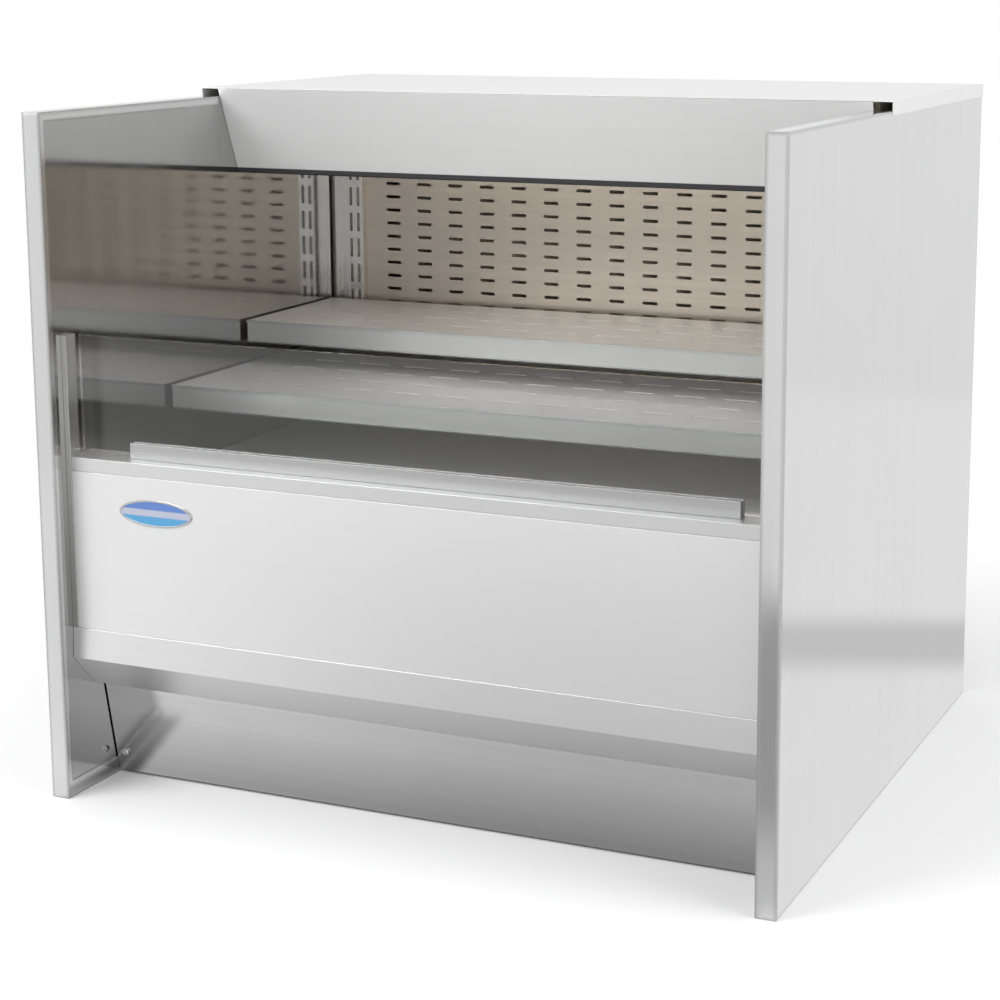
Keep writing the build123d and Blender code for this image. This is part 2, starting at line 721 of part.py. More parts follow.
def shelf_standard():
    """Right-hand slotted upright: a shallow channel with a flat wing towards the corner."""
    foot = STANDARD_FOOT_Z
    top = CEILING_Z - 2 * FIT_GAP
    outer_x = half_clear - STANDARD_INSET
    inner_x = outer_x - STANDARD_WIDTH
    face = standard_face_depth
    back = BACK_WALL_DEPTH - FIT_GAP
    web = block(inner_x, outer_x, face, face + STANDARD_SHEET, foot, top)
    inner_leg = block(inner_x, inner_x + STANDARD_SHEET, face, back, foot, top)
    outer_leg = block(outer_x - STANDARD_SHEET, outer_x, face, back, foot, top)
    wing_depth = face + STANDARD_WING_SETBACK
    wing = block(
        outer_x - STANDARD_SHEET,
        half_clear - STANDARD_WING_INSET,
        wing_depth,
        wing_depth + STANDARD_SHEET,
        foot,
        top,
    )
    upright = web + inner_leg + outer_leg + wing
    for inset in STANDARD_SLOT_INSETS:
        for row in range(STANDARD_SLOTS):
            low = STANDARD_FIRST_SLOT_Z + row * STANDARD_PITCH
            x = half_clear - inset
            upright -= block(
                x - STANDARD_SLOT_WIDTH / 2,
                x + STANDARD_SLOT_WIDTH / 2,
                face - STANDARD_SHEET,
                face + 2 * STANDARD_SHEET,
                low,
                low + STANDARD_SLOT_HEIGHT,
            )
    return upright


# Shelves


def shelf_pan(front_depth, top_z):
    """Shelf: a pressed tray, open below, with rows of air slots."""
    pan = block(
        -SHELF_HALF_WIDTH, SHELF_HALF_WIDTH, front_depth, SHELF_REAR_DEPTH, top_z - SHELF_SKIRT, top_z
    )
    pan -= block(
        -SHELF_HALF_WIDTH + SHEET,
        SHELF_HALF_WIDTH - SHEET,
        front_depth + SHEET,
        SHELF_REAR_DEPTH - SHEET,
        top_z - SHELF_SKIRT,
        top_z - SHEET,
    )
    notch_half = BRACKET_THICKNESS / 2 + FIT_GAP
    notch = block(
        bracket_x - notch_half,
        bracket_x + notch_half,
        SHELF_REAR_DEPTH - SHEET - OVERLAP,
        SHELF_REAR_DEPTH + OVERLAP,
        top_z - SHELF_SKIRT - OVERLAP,
        top_z - SHEET,
    )
    pan -= notch + mirrored(notch)
    room_x = 2 * (SHELF_HALF_WIDTH - SHELF_SLOT_LENGTH)
    room_y = SHELF_REAR_DEPTH - front_depth - SHELF_SLOT_ROW_PITCH
    across = int(room_x // SHELF_SLOT_PITCH)
    rows = int(room_y // SHELF_SLOT_ROW_PITCH)
    middle = Pos(0, y_at((front_depth + SHELF_REAR_DEPTH) / 2), top_z - SHEET - OVERLAP)
    slots = Sketch() + [
        spot * SlotOverall(SHELF_SLOT_LENGTH, SHELF_SLOT_WIDTH)
        for spot in GridLocations(SHELF_SLOT_PITCH, SHELF_SLOT_ROW_PITCH, across, rows)
    ]
    return pan - middle * extrude(slots, amount=SHEET + 2 * OVERLAP)


def hook_seat(row):
    """Height at which a hook rests in one row of the standard's slots."""
    return STANDARD_FIRST_SLOT_Z + row * STANDARD_PITCH + FIT_GAP


def shelf_bracket(front_depth, top_z, height, slot_rows):
    """Right-hand cantilever bracket under a shelf, with hooks that hang in the standard's slots."""
    plate_top = top_z - SHEET - FIT_GAP
    rear = standard_face_depth - FIT_GAP
    nose = front_depth + BRACKET_NOSE_SETBACK
    heel_z = hook_seat(slot_rows[0])
    outline = [
        (nose, plate_top),
        (nose, plate_top - BRACKET_NOSE_HEIGHT),
        (rear - HOOK_HEEL, plate_top - height),
        (rear - HOOK_HEEL, heel_z),
        (rear, heel_z),
        (rear, plate_top),
    ]
    x0 = bracket_x - BRACKET_THICKNESS / 2
    x1 = bracket_x + BRACKET_THICKNESS / 2
    bracket = section_bar(outline, x0, x1)
    inside = standard_face_depth + STANDARD_SHEET + 2 * FIT_GAP
    for row in slot_rows:
        seat = hook_seat(row)
        bracket += block(x0, x1, rear - OVERLAP, inside + HOOK_TONGUE, seat, seat + HOOK_NECK_HEIGHT)
        bracket += block(x0, x1, inside, inside + HOOK_TONGUE, seat - HOOK_DROP, seat + HOOK_NECK_HEIGHT)
    return bracket


def lower_bracket():
    """Bracket of the lower shelf, in the first two slots."""
    return shelf_bracket(LOWER_SHELF_FRONT_DEPTH, LOWER_SHELF_Z, LOWER_BRACKET_HEIGHT, (0, 1))


def upper_bracket():
    """Bracket of the upper shelf, in the third and fourth slots, clear of the lower shelf's lift."""
    height = UPPER_SHELF_Z - SHEET - FIT_GAP - UPPER_BRACKET_CLEAR_Z
    return shelf_bracket(UPPER_SHELF_FRONT_DEPTH, UPPER_SHELF_Z, height, (2, 3))


def tag_strip(front_depth, top_z):
    """Price-tag moulding clipped to a shelf's front edge."""
    back = front_depth - FIT_GAP
    front = back - TAG_STRIP_DEPTH
    path = [
        (front, top_z - TAG_LIP),
        (front, top_z),
        (back, top_z),
        (back, top_z - TAG_STRIP_HEIGHT),
        (front, top_z - TAG_STRIP_HEIGHT),
        (front, top_z - TAG_STRIP_HEIGHT + TAG_LIP),
    ]
    return folded_sheet(path, -THIN_SHEET, SHELF_HALF_WIDTH)


# Deck, return grille and plenum


def deck_pan():
    """Lift-out deck that stands on its side skirts over the evaporator."""
    foot = TUB_FLOOR_Z + FIT_GAP
    path = [
        (DECK_FRONT_DEPTH, DECK_Z - DECK_LIP),
        (DECK_FRONT_DEPTH, DECK_Z),
        (DECK_REAR_DEPTH, DECK_Z),
        (DECK_REAR_DEPTH, DECK_Z - DECK_LIP),
    ]
    deck = folded_sheet(path, -SHEET, DECK_HALF_WIDTH)
    skirt = block(
        DECK_HALF_WIDTH - SHEET, DECK_HALF_WIDTH, DECK_FRONT_DEPTH, DECK_REAR_DEPTH, foot, DECK_Z
    )
    return deck + skirt + mirrored(skirt)


def return_air_grille():
    """Slotted grille where the air goes back under the deck."""
    foot = TUB_FLOOR_Z + FIT_GAP
    path = [
        (GRILLE_FRONT_DEPTH, GRILLE_Z - DECK_LIP),
        (GRILLE_FRONT_DEPTH, GRILLE_Z),
        (GRILLE_REAR_DEPTH, GRILLE_Z),
        (GRILLE_REAR_DEPTH, GRILLE_Z - DECK_LIP),
    ]
    grille = folded_sheet(path, -SHEET, DECK_HALF_WIDTH)
    leg_middle = (GRILLE_FRONT_DEPTH + GRILLE_REAR_DEPTH) / 2
    leg = block(
        DECK_HALF_WIDTH - SHEET,
        DECK_HALF_WIDTH,
        leg_middle - GRILLE_LEG_LENGTH / 2,
        leg_middle + GRILLE_LEG_LENGTH / 2,
        foot,
        GRILLE_Z,
    )
    across = int((2 * DECK_HALF_WIDTH - GRILLE_SLOT_PITCH) // GRILLE_SLOT_PITCH)
    middle = Pos(0, y_at(leg_middle), GRILLE_Z - SHEET - OVERLAP)
    slots = Sketch() + [
        spot * SlotOverall(GRILLE_SLOT_LENGTH, GRILLE_SLOT_WIDTH)
        for spot in GridLocations(GRILLE_SLOT_PITCH, GRILLE_ROW_PITCH, across, GRILLE_ROWS)
    ]
    return grille + leg + mirrored(leg) - middle * extrude(slots, amount=SHEET + 2 * OVERLAP)


def fan_plenum():
    """Upright sheet under the deck that carries the two evaporator fans."""
    foot = TUB_FLOOR_Z + FIT_GAP
    top = DECK_Z - SHEET - FIT_GAP
    sheet = centred_rectangle(-PLENUM_HALF_WIDTH, PLENUM_HALF_WIDTH, foot, top)
    holes = [Pos(x, FAN_Z) * Circle(FAN_HOLE_RADIUS) for x in (-FAN_OFFSET_X, FAN_OFFSET_X)]
    plate = upright_plate(pierced(sheet, holes), PLENUM_DEPTH, SHEET)
    flange = block(
        -PLENUM_HALF_WIDTH, PLENUM_HALF_WIDTH, PLENUM_DEPTH, PLENUM_DEPTH + PLENUM_FLANGE, top - SHEET, top
    )
    return plate + flange


# Coils and fans


def finned_coil(x0, x1, depth0, depth, z0, height, pitch, rows, layers, foot_z):
    """Tube and fin coil with two end plates that stand on the floor below."""
    length = x1 - x0
    fins = int(length // pitch) - 1
    first = x0 + (length - (fins - 1) * pitch) / 2
    coil = block(x0, x0 + COIL_END_PLATE, depth0, depth0 + depth, foot_z, z0 + height)
    coil += block(x1 - COIL_END_PLATE, x1, depth0, depth0 + depth, foot_z, z0 + height)
    tubes = [
        rod_x(
            x0,
            x1,
            depth0 + depth * (row + 0.5) / rows,
            z0 + height * (layer + 0.5) / layers,
            COIL_TUBE_RADIUS,
        )
        for row in range(rows)
        for layer in range(layers)
    ]
    plates = [
        block(x - COIL_FIN / 2, x + COIL_FIN / 2, depth0, depth0 + depth, z0, z0 + height)
        for x in [first + pitch * n for n in range(fins)]
    ]
    return coil + tubes + plates


def evaporator_coil():
    """Evaporator, under the deck behind the fans."""
    return finned_coil(
        -EVAPORATOR_HALF_WIDTH,
        EVAPORATOR_HALF_WIDTH,
        EVAPORATOR_FRONT_DEPTH,
        EVAPORATOR_DEPTH,
        EVAPORATOR_BOTTOM_Z,
        EVAPORATOR_HEIGHT,
        EVAPORATOR_FIN_PITCH,
        EVAPORATOR_TUBE_ROWS,
        EVAPORATOR_TUBE_LAYERS,
        TUB_FLOOR_Z + FIT_GAP,
    )


def condenser_coil():
    """Condenser, at the front of the machine compartment."""
    return finned_coil(
        CONDENSER_LEFT_X,
        CONDENSER_RIGHT_X,
        CONDENSER_FRONT_DEPTH,
        CONDENSER_DEPTH,
        machine_floor + SHEET,
        CONDENSER_HEIGHT - SHEET,
        CONDENSER_FIN_PITCH,
        CONDENSER_TUBE_ROWS,
        CONDENSER_TUBE_LAYERS,
        machine_floor,
    )


def fan_rotor(x, z, hub_front, hub_radius, hub_length, tip_radius, chord):
    """Axial fan: a bored hub and pitched blades about an axis along Y."""
    hub_back = hub_front + hub_length
    rotor = rod_y(x, hub_front, hub_back, z, hub_radius)
    root = hub_radius / 2
    span = tip_radius - root
    for number in range(FAN_BLADES):
        blade = Pos(0, 0, root + span / 2) * Rot(0, 0, FAN_BLADE_PITCH_DEG) * Box(
            chord, FAN_BLADE_THICKNESS, span
        )
        turned = Rot(0, 360 * number / FAN_BLADES, 0) * blade
        rotor += Pos(x, y_at(hub_front + hub_length / 2), z) * turned
    rim = rod_y(x, hub_front - hub_length, hub_back + hub_length, z, tip_radius)
    bore = rod_y(x, hub_front - OVERLAP, hub_back + OVERLAP, z, FAN_SHAFT_RADIUS + SHAFT_CLEARANCE)
    return (rotor & rim) - bore


def evaporator_fan(x):
    """One evaporator fan rotor in its plenum hole."""
    hub_front = PLENUM_DEPTH - FAN_HUB_LENGTH / 2
    return fan_rotor(x, FAN_Z, hub_front, FAN_HUB_RADIUS, FAN_HUB_LENGTH, FAN_TIP_RADIUS, FAN_BLADE_CHORD)


def evaporator_motor(x):
    """Motor behind the plenum, on four arms with stand-offs, with its shaft."""
    front = PLENUM_DEPTH + FAN_MOTOR_SETBACK
    shaft_front = PLENUM_DEPTH - FAN_HUB_LENGTH / 2 + FAN_SHAFT_SETBACK
    motor = rod_y(x, front, front + FAN_MOTOR_LENGTH, FAN_Z, FAN_MOTOR_RADIUS)
    motor += rod_y(x, shaft_front, front + OVERLAP, FAN_Z, FAN_SHAFT_RADIUS)
    arms = Box(2 * FAN_ARM_REACH, FAN_ARM_THICKNESS, FAN_ARM_WIDTH)
    arms += Box(FAN_ARM_WIDTH, FAN_ARM_THICKNESS, 2 * FAN_ARM_REACH)
    motor += Pos(x, y_at(front + FAN_ARM_THICKNESS / 2), FAN_Z) * Rot(0, 45, 0) * arms
    leg_offset = (FAN_ARM_REACH - FAN_ARM_WIDTH / 2) / math.sqrt(2)
    leg_front = PLENUM_DEPTH + SHEET + FIT_GAP
    for side_x in (-1, 1):
        for side_z in (-1, 1):
            leg_x = x + side_x * leg_offset
            leg_z = FAN_Z + side_z * leg_offset
            motor += rod_y(leg_x, leg_front, front + FAN_ARM_THICKNESS, leg_z, FAN_ARM_WIDTH / 2)
    return motor


def condenser_shroud():
    """Plate behind the condenser with the fan's hole, standing on the tray."""
    foot = machine_floor
    sheet = centred_rectangle(CONDENSER_LEFT_X, CONDENSER_RIGHT_X, foot, foot + CONDENSER_HEIGHT)
    holes = [Pos(condenser_x, condenser_fan_z) * Circle(COND_FAN_HOLE_RADIUS)]
    plate = upright_plate(pierced(sheet, holes), shroud_depth, SHEET)
    cheek_front = CONDENSER_FRONT_DEPTH + CONDENSER_DEPTH + FIT_GAP
    top = foot + CONDENSER_HEIGHT
    for x in (CONDENSER_LEFT_X, CONDENSER_RIGHT_X - SHEET):
        plate += block(x, x + SHEET, cheek_front, shroud_depth + SHEET, foot, top)
    return plate


def condenser_fan():
    """Condenser fan rotor."""
    hub_front = shroud_depth - COND_FAN_HUB_LENGTH / 2
    return fan_rotor(
        condenser_x,
        condenser_fan_z,
        hub_front,
        COND_FAN_HUB_RADIUS,
        COND_FAN_HUB_LENGTH,
        COND_FAN_TIP_RADIUS,
        COND_FAN_CHORD,
    )


def condenser_fan_motor():
    """Condenser fan motor on its pedestal, with its shaft."""
    front = shroud_depth + COND_FAN_CHORD
    shaft_front = shroud_depth - COND_FAN_HUB_LENGTH / 2 + FAN_SHAFT_SETBACK
    back = front + COND_MOTOR_LENGTH
    motor = rod_y(condenser_x, front, back, condenser_fan_z, COND_MOTOR_RADIUS)
    motor += rod_y(condenser_x, shaft_front, front + OVERLAP, condenser_fan_z, FAN_SHAFT_RADIUS)
    foot_half = COND_MOTOR_FOOT / 2
    motor += block(
        condenser_x - foot_half,
        condenser_x + foot_half,
        front + COND_MOTOR_FOOT_SETBACK,
        back - COND_MOTOR_FOOT_SETBACK,
        machine_floor,
        machine_floor + COND_MOTOR_FOOT_THICKNESS,
    )
    post_half = COND_MOTOR_POST_WIDTH / 2
    motor += block(
        condenser_x - post_half,
        condenser_x + post_half,
        front + COND_MOTOR_POST_SETBACK,
        back - COND_MOTOR_POST_SETBACK,
        machine_floor,
        condenser_fan_z,
    )
    return motor


def compressor():
    """Hermetic compressor: a domed can on a base plate with four grommets and a terminal cover."""
    plate_z = machine_floor + COMPRESSOR_GROMMET_HEIGHT
    can_foot = plate_z + COMPRESSOR_BASE_THICKNESS
    middle = y_at(COMPRESSOR_DEPTH)
    can = rod_z(COMPRESSOR_X, COMPRESSOR_DEPTH, can_foot, can_foot + COMPRESSOR_HEIGHT, COMPRESSOR_RADIUS)
    can = fillet(can.faces().sort_by(Axis.Z)[-1].edges(), COMPRESSOR_SHOULDER)
    base = Pos(COMPRESSOR_X, middle, plate_z + COMPRESSOR_BASE_THICKNESS / 2) * Box(
        COMPRESSOR_BASE_SIZE, COMPRESSOR_BASE_SIZE, COMPRESSOR_BASE_THICKNESS
    )
    cover_front = COMPRESSOR_DEPTH - COMPRESSOR_TERMINAL / 2
    cover_foot = can_foot + COMPRESSOR_TERMINAL_RISE
    cover = block(
        COMPRESSOR_X + COMPRESSOR_RADIUS - COMPRESSOR_TERMINAL_SINK,
        COMPRESSOR_X + COMPRESSOR_RADIUS + COMPRESSOR_TERMINAL_PROUD,
        cover_front,
        cover_front + COMPRESSOR_TERMINAL,
        cover_foot,
        cover_foot + COMPRESSOR_TERMINAL,
    )
    unit = can + base + cover
    reach = COMPRESSOR_BASE_SIZE / 2 - COMPRESSOR_GROMMET_INSET
    for side_x in (-reach, reach):
        for side_y in (-reach, reach):
            unit += rod_z(
                COMPRESSOR_X + side_x,
                COMPRESSOR_DEPTH + side_y,
                machine_floor,
                can_foot + COMPRESSOR_GROMMET_PROUD,
                COMPRESSOR_GROMMET_RADIUS,
            )
    return unit


def bent_tube(points, radius):
    """Tube swept along straight runs and round bends, from (x, depth, z) points."""
    route = [(x, y_at(depth), z) for x, depth, z in points]
    path = FilletPolyline(*route, radius=LINE_BEND_RADIUS)
    start = Plane(origin=path @ 0, z_dir=path % 0)
    return sweep(start * Circle(radius), path=path)


def refrigerant_lines():
    """Suction, liquid and discharge tubes."""
    coil_side = EVAPORATOR_HALF_WIDTH + FIT_GAP
    suction_x = LINE_HOLE_X + SUCTION_OFFSET_X
    liquid_x = LINE_HOLE_X + LIQUID_OFFSET_X
    suction_depth = LINE_HOLE_DEPTH + LINE_OFFSET_DEPTH
    liquid_depth = LINE_HOLE_DEPTH - LINE_OFFSET_DEPTH
    can_right = COMPRESSOR_X + COMPRESSOR_RADIUS + FIT_GAP
    can_left = COMPRESSOR_X - COMPRESSOR_RADIUS - FIT_GAP
    condenser_side = CONDENSER_RIGHT_X + FIT_GAP
    condenser_middle = CONDENSER_FRONT_DEPTH + CONDENSER_DEPTH / 2
    suction = bent_tube(
        [
            (coil_side, suction_depth, SUCTION_COIL_Z),
            (suction_x, suction_depth, SUCTION_COIL_Z),
            (suction_x, suction_depth, SUCTION_RUN_Z),
            (suction_x, COMPRESSOR_DEPTH, SUCTION_RUN_Z),
            (can_right, COMPRESSOR_DEPTH, SUCTION_RUN_Z),
        ],
        SUCTION_RADIUS,
    )
    liquid = bent_tube(
        [
            (coil_side, liquid_depth, LIQUID_COIL_Z),
            (liquid_x, liquid_depth, LIQUID_COIL_Z),
            (liquid_x, liquid_depth, LIQUID_RUN_Z),
            (liquid_x, condenser_middle, LIQUID_RUN_Z),
            (condenser_side, condenser_middle, LIQUID_RUN_Z),
        ],
        LIQUID_RADIUS,
    )
    discharge = bent_tube(
        [
            (can_left, COMPRESSOR_DEPTH, DISCHARGE_Z),
            (can_left - DISCHARGE_RUN, COMPRESSOR_DEPTH, DISCHARGE_Z),
            (can_left - DISCHARGE_RUN, condenser_middle, DISCHARGE_Z),
            (condenser_side, condenser_middle, DISCHARGE_Z),
        ],
        LIQUID_RADIUS,
    )
    return Compound(children=[*suction.solids(), *liquid.solids(), *discharge.solids()])


def drain_tube():
    """Drain from the tub floor down to the condensate pan."""
    flange_top = TUB_FLOOR_Z + FIT_GAP + SHEET
    tube = rod_z(DRAIN_X, DRAIN_DEPTH, DRAIN_END_Z, flange_top, DRAIN_RADIUS)
    tube += rod_z(DRAIN_X, DRAIN_DEPTH, TUB_FLOOR_Z + FIT_GAP, flange_top, DRAIN_FLANGE_RADIUS)
    return tube - rod_z(
        DRAIN_X, DRAIN_DEPTH, DRAIN_END_Z - OVERLAP, flange_top + OVERLAP, DRAIN_BORE_RADIUS
    )


def condensate_pan():
    """Open pan that catches and evaporates the drain water."""
    floor_z = machine_floor
    pan = block(PAN_LEFT_X, PAN_RIGHT_X, PAN_FRONT_DEPTH, PAN_REAR_DEPTH, floor_z, floor_z + PAN_HEIGHT)
    hollow = block(
        PAN_LEFT_X + PAN_WALL,
        PAN_RIGHT_X - PAN_WALL,
        PAN_FRONT_DEPTH + PAN_WALL,
        PAN_REAR_DEPTH - PAN_WALL,
        floor_z + PAN_WALL,
        floor_z + PAN_HEIGHT + OVERLAP,
    )
    return pan - hollow


# Front pieces


def sill_cap():
    """Cap over the front wall, with a front lip, a lip into the tub and corners notched round the stiles."""
    path = [
        (SILL_FRONT_DEPTH, SILL_Z - SILL_LIP_HEIGHT),
        (SILL_FRONT_DEPTH, SILL_Z),
        (sill_rear_depth, SILL_Z),
        (sill_rear_depth, SILL_Z - SILL_REAR_LIP),
    ]
    cap = folded_sheet(path, -SHEET, body_half)
    notch_back = STILE_FRONT_DEPTH + STILE_DEPTH
    notch_foot = SILL_Z - SILL_LIP_HEIGHT - OVERLAP
    notch = block(front_half, half_clear, 0, notch_back, notch_foot, SILL_Z + OVERLAP)
    return cap - notch - mirrored(notch)


def side_stile():
    """Right-hand stile that closes the gap between the end panel and the front pieces."""
    return block(
        half_clear - STILE_WIDTH,
        half_clear - FIT_GAP / 2,
        STILE_FRONT_DEPTH,
        STILE_FRONT_DEPTH + STILE_DEPTH - FIT_GAP,
        BUMPER_TOP_Z + FIT_GAP,
        STILE_TOP_Z,
    )


def glass_channel():
    """Channel on the sill that holds the lower edge of the riser glass."""
    left = -(half_clear - CHANNEL_LEFT_INSET)
    right = half_clear - CHANNEL_RIGHT_INSET
    base = SILL_Z + FIT_GAP
    back = CHANNEL_FRONT_DEPTH + channel_depth
    body = block(left, right, CHANNEL_FRONT_DEPTH, back, base, SILL_Z + CHANNEL_HEIGHT)
    groove = block(
        left,
        right,
        CHANNEL_FRONT_DEPTH + CHANNEL_WALL,
        back - CHANNEL_WALL,
        base + CHANNEL_BASE,
        SILL_Z + CHANNEL_HEIGHT,
    )
    return body - groove


def riser_glass():
    """Clear riser glass along the front, lifted out of its channel for cleaning."""
    half = half_clear - GLASS_END_INSET
    foot = SILL_Z + CHANNEL_BASE + 2 * FIT_GAP
    pane = block(-half, half, glass_front_depth, glass_front_depth + GLASS_THICKNESS, foot, GLASS_TOP_Z)
    upright_edges = pane.edges().filter_by(Axis.Y)
    return fillet(upright_edges, GLASS_CORNER_RADIUS)


def front_panel():
    """Removable front panel: a shallow tray with its edges turned in."""
    foot = BUMPER_TOP_Z + FIT_GAP
    back = front_panel_depth + FRONT_PANEL_RETURN
    tray = block(-front_half, front_half, front_panel_depth, back, foot, front_panel_top)
    hollow = block(
        -front_half + SHEET,
        front_half - SHEET,
        front_panel_depth + SHEET,
        back + OVERLAP,
        foot + SHEET,
        front_panel_top - SHEET,
    )
    return tray - hollow


def bumper_rail():
    """Bumper below the front panel, with an underside that slopes back over the toe space."""
    rail_face = RAIL_FRONT_DEPTH - FIT_GAP
    path = [
        (rail_face, BUMPER_TOP_Z),
        (BUMPER_TOP_DEPTH, BUMPER_TOP_Z),
        (BUMPER_FACE_DEPTH, BUMPER_FACE_BOTTOM_Z),
        (BUMPER_FOOT_DEPTH, BUMPER_FOOT_Z),
        (BUMPER_FOOT_DEPTH, BUMPER_FOOT_Z + BUMPER_FOOT_FLANGE),
    ]
    return folded_sheet(path, SHEET, body_half)


def kick_depth(z):
    """Depth of the kick panel's face at a height."""
    lean = (KICK_TOP_DEPTH - KICK_FOOT_DEPTH) / (KICK_TOP_Z - KICK_FOOT_Z)
    return KICK_FOOT_DEPTH + lean * (z - KICK_FOOT_Z)


def kick_screw_spots():
    """X places of the two kick panel screws."""
    inset = half_clear - KICK_SCREW_INSET
    return (-inset, inset)


def kick_panel():
    """Leaning kick panel with a cheek at each end that reaches back to the frame."""
    path = [(KICK_TOP_DEPTH, KICK_TOP_Z), (KICK_FOOT_DEPTH, KICK_FOOT_Z)]
    face = folded_sheet(path, SHEET, KICK_HALF_WIDTH)
    back = FRAME_FRONT_DEPTH - FIT_GAP
    cheek_outline = [
        (kick_depth(KICK_TOP_Z), KICK_TOP_Z),
        (kick_depth(KICK_FOOT_Z), KICK_FOOT_Z),
        (back, KICK_FOOT_Z),
        (back, KICK_TOP_Z),
    ]
    cheek = section_bar(cheek_outline, KICK_HALF_WIDTH - SHEET, KICK_HALF_WIDTH)
    panel = face + cheek + mirrored(cheek)
    for x in kick_screw_spots():
        panel -= rod_y(x, kick_depth(KICK_SCREW_Z) - OVERLAP, back, KICK_SCREW_Z, SCREW_HOLE_RADIUS)
    return panel


def pan_head_screw(x, depth, z, length, faces_back):
    """Pan-head screw along Y with a round driver recess; its head faces the front or the back."""
    way = 1 if faces_back else -1
    head_end = depth + way * SCREW_HEAD_HEIGHT
    tip = depth - way * length
    head = rod_y(x, min(depth, head_end), max(depth, head_end), z, SCREW_HEAD_RADIUS)
    shank = rod_y(x, min(depth, tip), max(depth, tip), z, SCREW_SHANK_RADIUS)
    bottom = head_end - way * SCREW_RECESS_DEPTH
    recess = rod_y(x, min(head_end, bottom), max(head_end, bottom), z, SCREW_RECESS_RADIUS)
    return head + shank - recess


def kick_screws():
    """Two screws through the lower corners of the kick panel."""
    seat = kick_depth(KICK_SCREW_Z + SCREW_HEAD_RADIUS) - FIT_GAP
    length = FRAME_FRONT_DEPTH - FIT_GAP - seat
    screws = [
        pan_head_screw(x, seat, KICK_SCREW_Z, length, faces_back=False).solid()
        for x in kick_screw_spots()
    ]
    return Compound(children=screws)


def badge_plate():
    """Blank oval plate on the front panel."""
    outline = Pos(BADGE_X, BADGE_Z) * Ellipse(BADGE_LENGTH / 2, BADGE_HEIGHT / 2)
    back = front_panel_depth - FIT_GAP / 2
    return upright_plate(outline, back - BADGE_THICKNESS, BADGE_THICKNESS)


# Base


def frame_bars():
    """Corner pairs of the square tubes of the base frame, as (x0, x1, depth0, depth1, z0, z1)."""
    out = body_half
    inner = out - TUBE
    low = FRAME_BOTTOM_Z
    high = frame_top
    rear = BODY_REAR_DEPTH
    front = FRAME_FRONT_DEPTH
    bars = [
        (-out, out, front, front + TUBE, low, low + TUBE),
        (-out, out, rear - TUBE, rear, low, low + TUBE),
        (-out, out, RAIL_FRONT_DEPTH, RAIL_FRONT_DEPTH + TUBE, high - TUBE, high),
        (-out, out, rear - TUBE, rear, high - TUBE, high),
    ]
    for x0, x1 in ((-out, -inner), (inner, out)):
        bars.append((x0, x1, front, rear, low, low + TUBE))
        bars.append((x0, x1, RAIL_FRONT_DEPTH, rear, high - TUBE, high))
        bars.append((x0, x1, front, front + TUBE, low, high))
        bars.append((x0, x1, rear - TUBE, rear, low, high))
    return bars


def foot_spots():
    """X and depth of the four levelling feet, under the front and rear rails."""
    x = body_half - FOOT_INSET
    depths = (FRAME_FRONT_DEPTH + TUBE / 2, BODY_REAR_DEPTH - TUBE / 2)
    return [(side * x, depth) for side in (-1, 1) for depth in depths]


def base_frame():
    """Welded frame of square tube, with a threaded hole for each foot."""
    outer = [block(*bar) for bar in frame_bars()]
    wall = TUBE_WALL
    inner = [
        block(x0 + wall, x1 - wall, d0 + wall, d1 - wall, z0 + wall, z1 - wall)
        for x0, x1, d0, d1, z0, z1 in frame_bars()
    ]
    frame = outer[0] + outer[1:]
    frame -= inner
    for x, depth in foot_spots():
        low = FRAME_BOTTOM_Z
        frame -= rod_z(
            x, depth, low - OVERLAP, low + TUBE_WALL + OVERLAP, FOOT_STUD_RADIUS + SHAFT_CLEARANCE
        )
    return frame


def levelling_foot(x, depth):
    """Levelling foot: a round pad and its stud, wound up just clear of the floor."""
    pad = rod_z(x, depth, FOOT_CLEAR_Z, FOOT_CLEAR_Z + FOOT_PAD_HEIGHT, FOOT_PAD_RADIUS)
    pad = chamfer(pad.faces().sort_by(Axis.Z)[-1].edges(), FOOT_PAD_CHAMFER)
    return pad + rod_z(x, depth, FOOT_CLEAR_Z, FOOT_STUD_TOP_Z, FOOT_STUD_RADIUS)


def condensing_unit_tray():
    """Tray that carries the machinery on the lower frame rails."""
    front = FRAME_FRONT_DEPTH + SHEET
    rear = BODY_REAR_DEPTH - SHEET
    tray = block(-TRAY_HALF_WIDTH, TRAY_HALF_WIDTH, front, rear, tray_z, tray_top)
    lip = block(TRAY_HALF_WIDTH - SHEET, TRAY_HALF_WIDTH, front, rear, tray_z, tray_z + TRAY_LIP)
    return tray + lip + mirrored(lip)


# Rear panel and controls


def rear_screw_spots():
    """X and Z of the rear panel's screws."""
    x = REAR_PANEL_HALF_WIDTH - REAR_SCREW_INSET
    z_low = FRAME_BOTTOM_Z + TUBE / 2
    z_high = frame_top - TUBE / 2
    return [(side, z) for side in (-x, 0, x) for z in (z_low, z_high)]


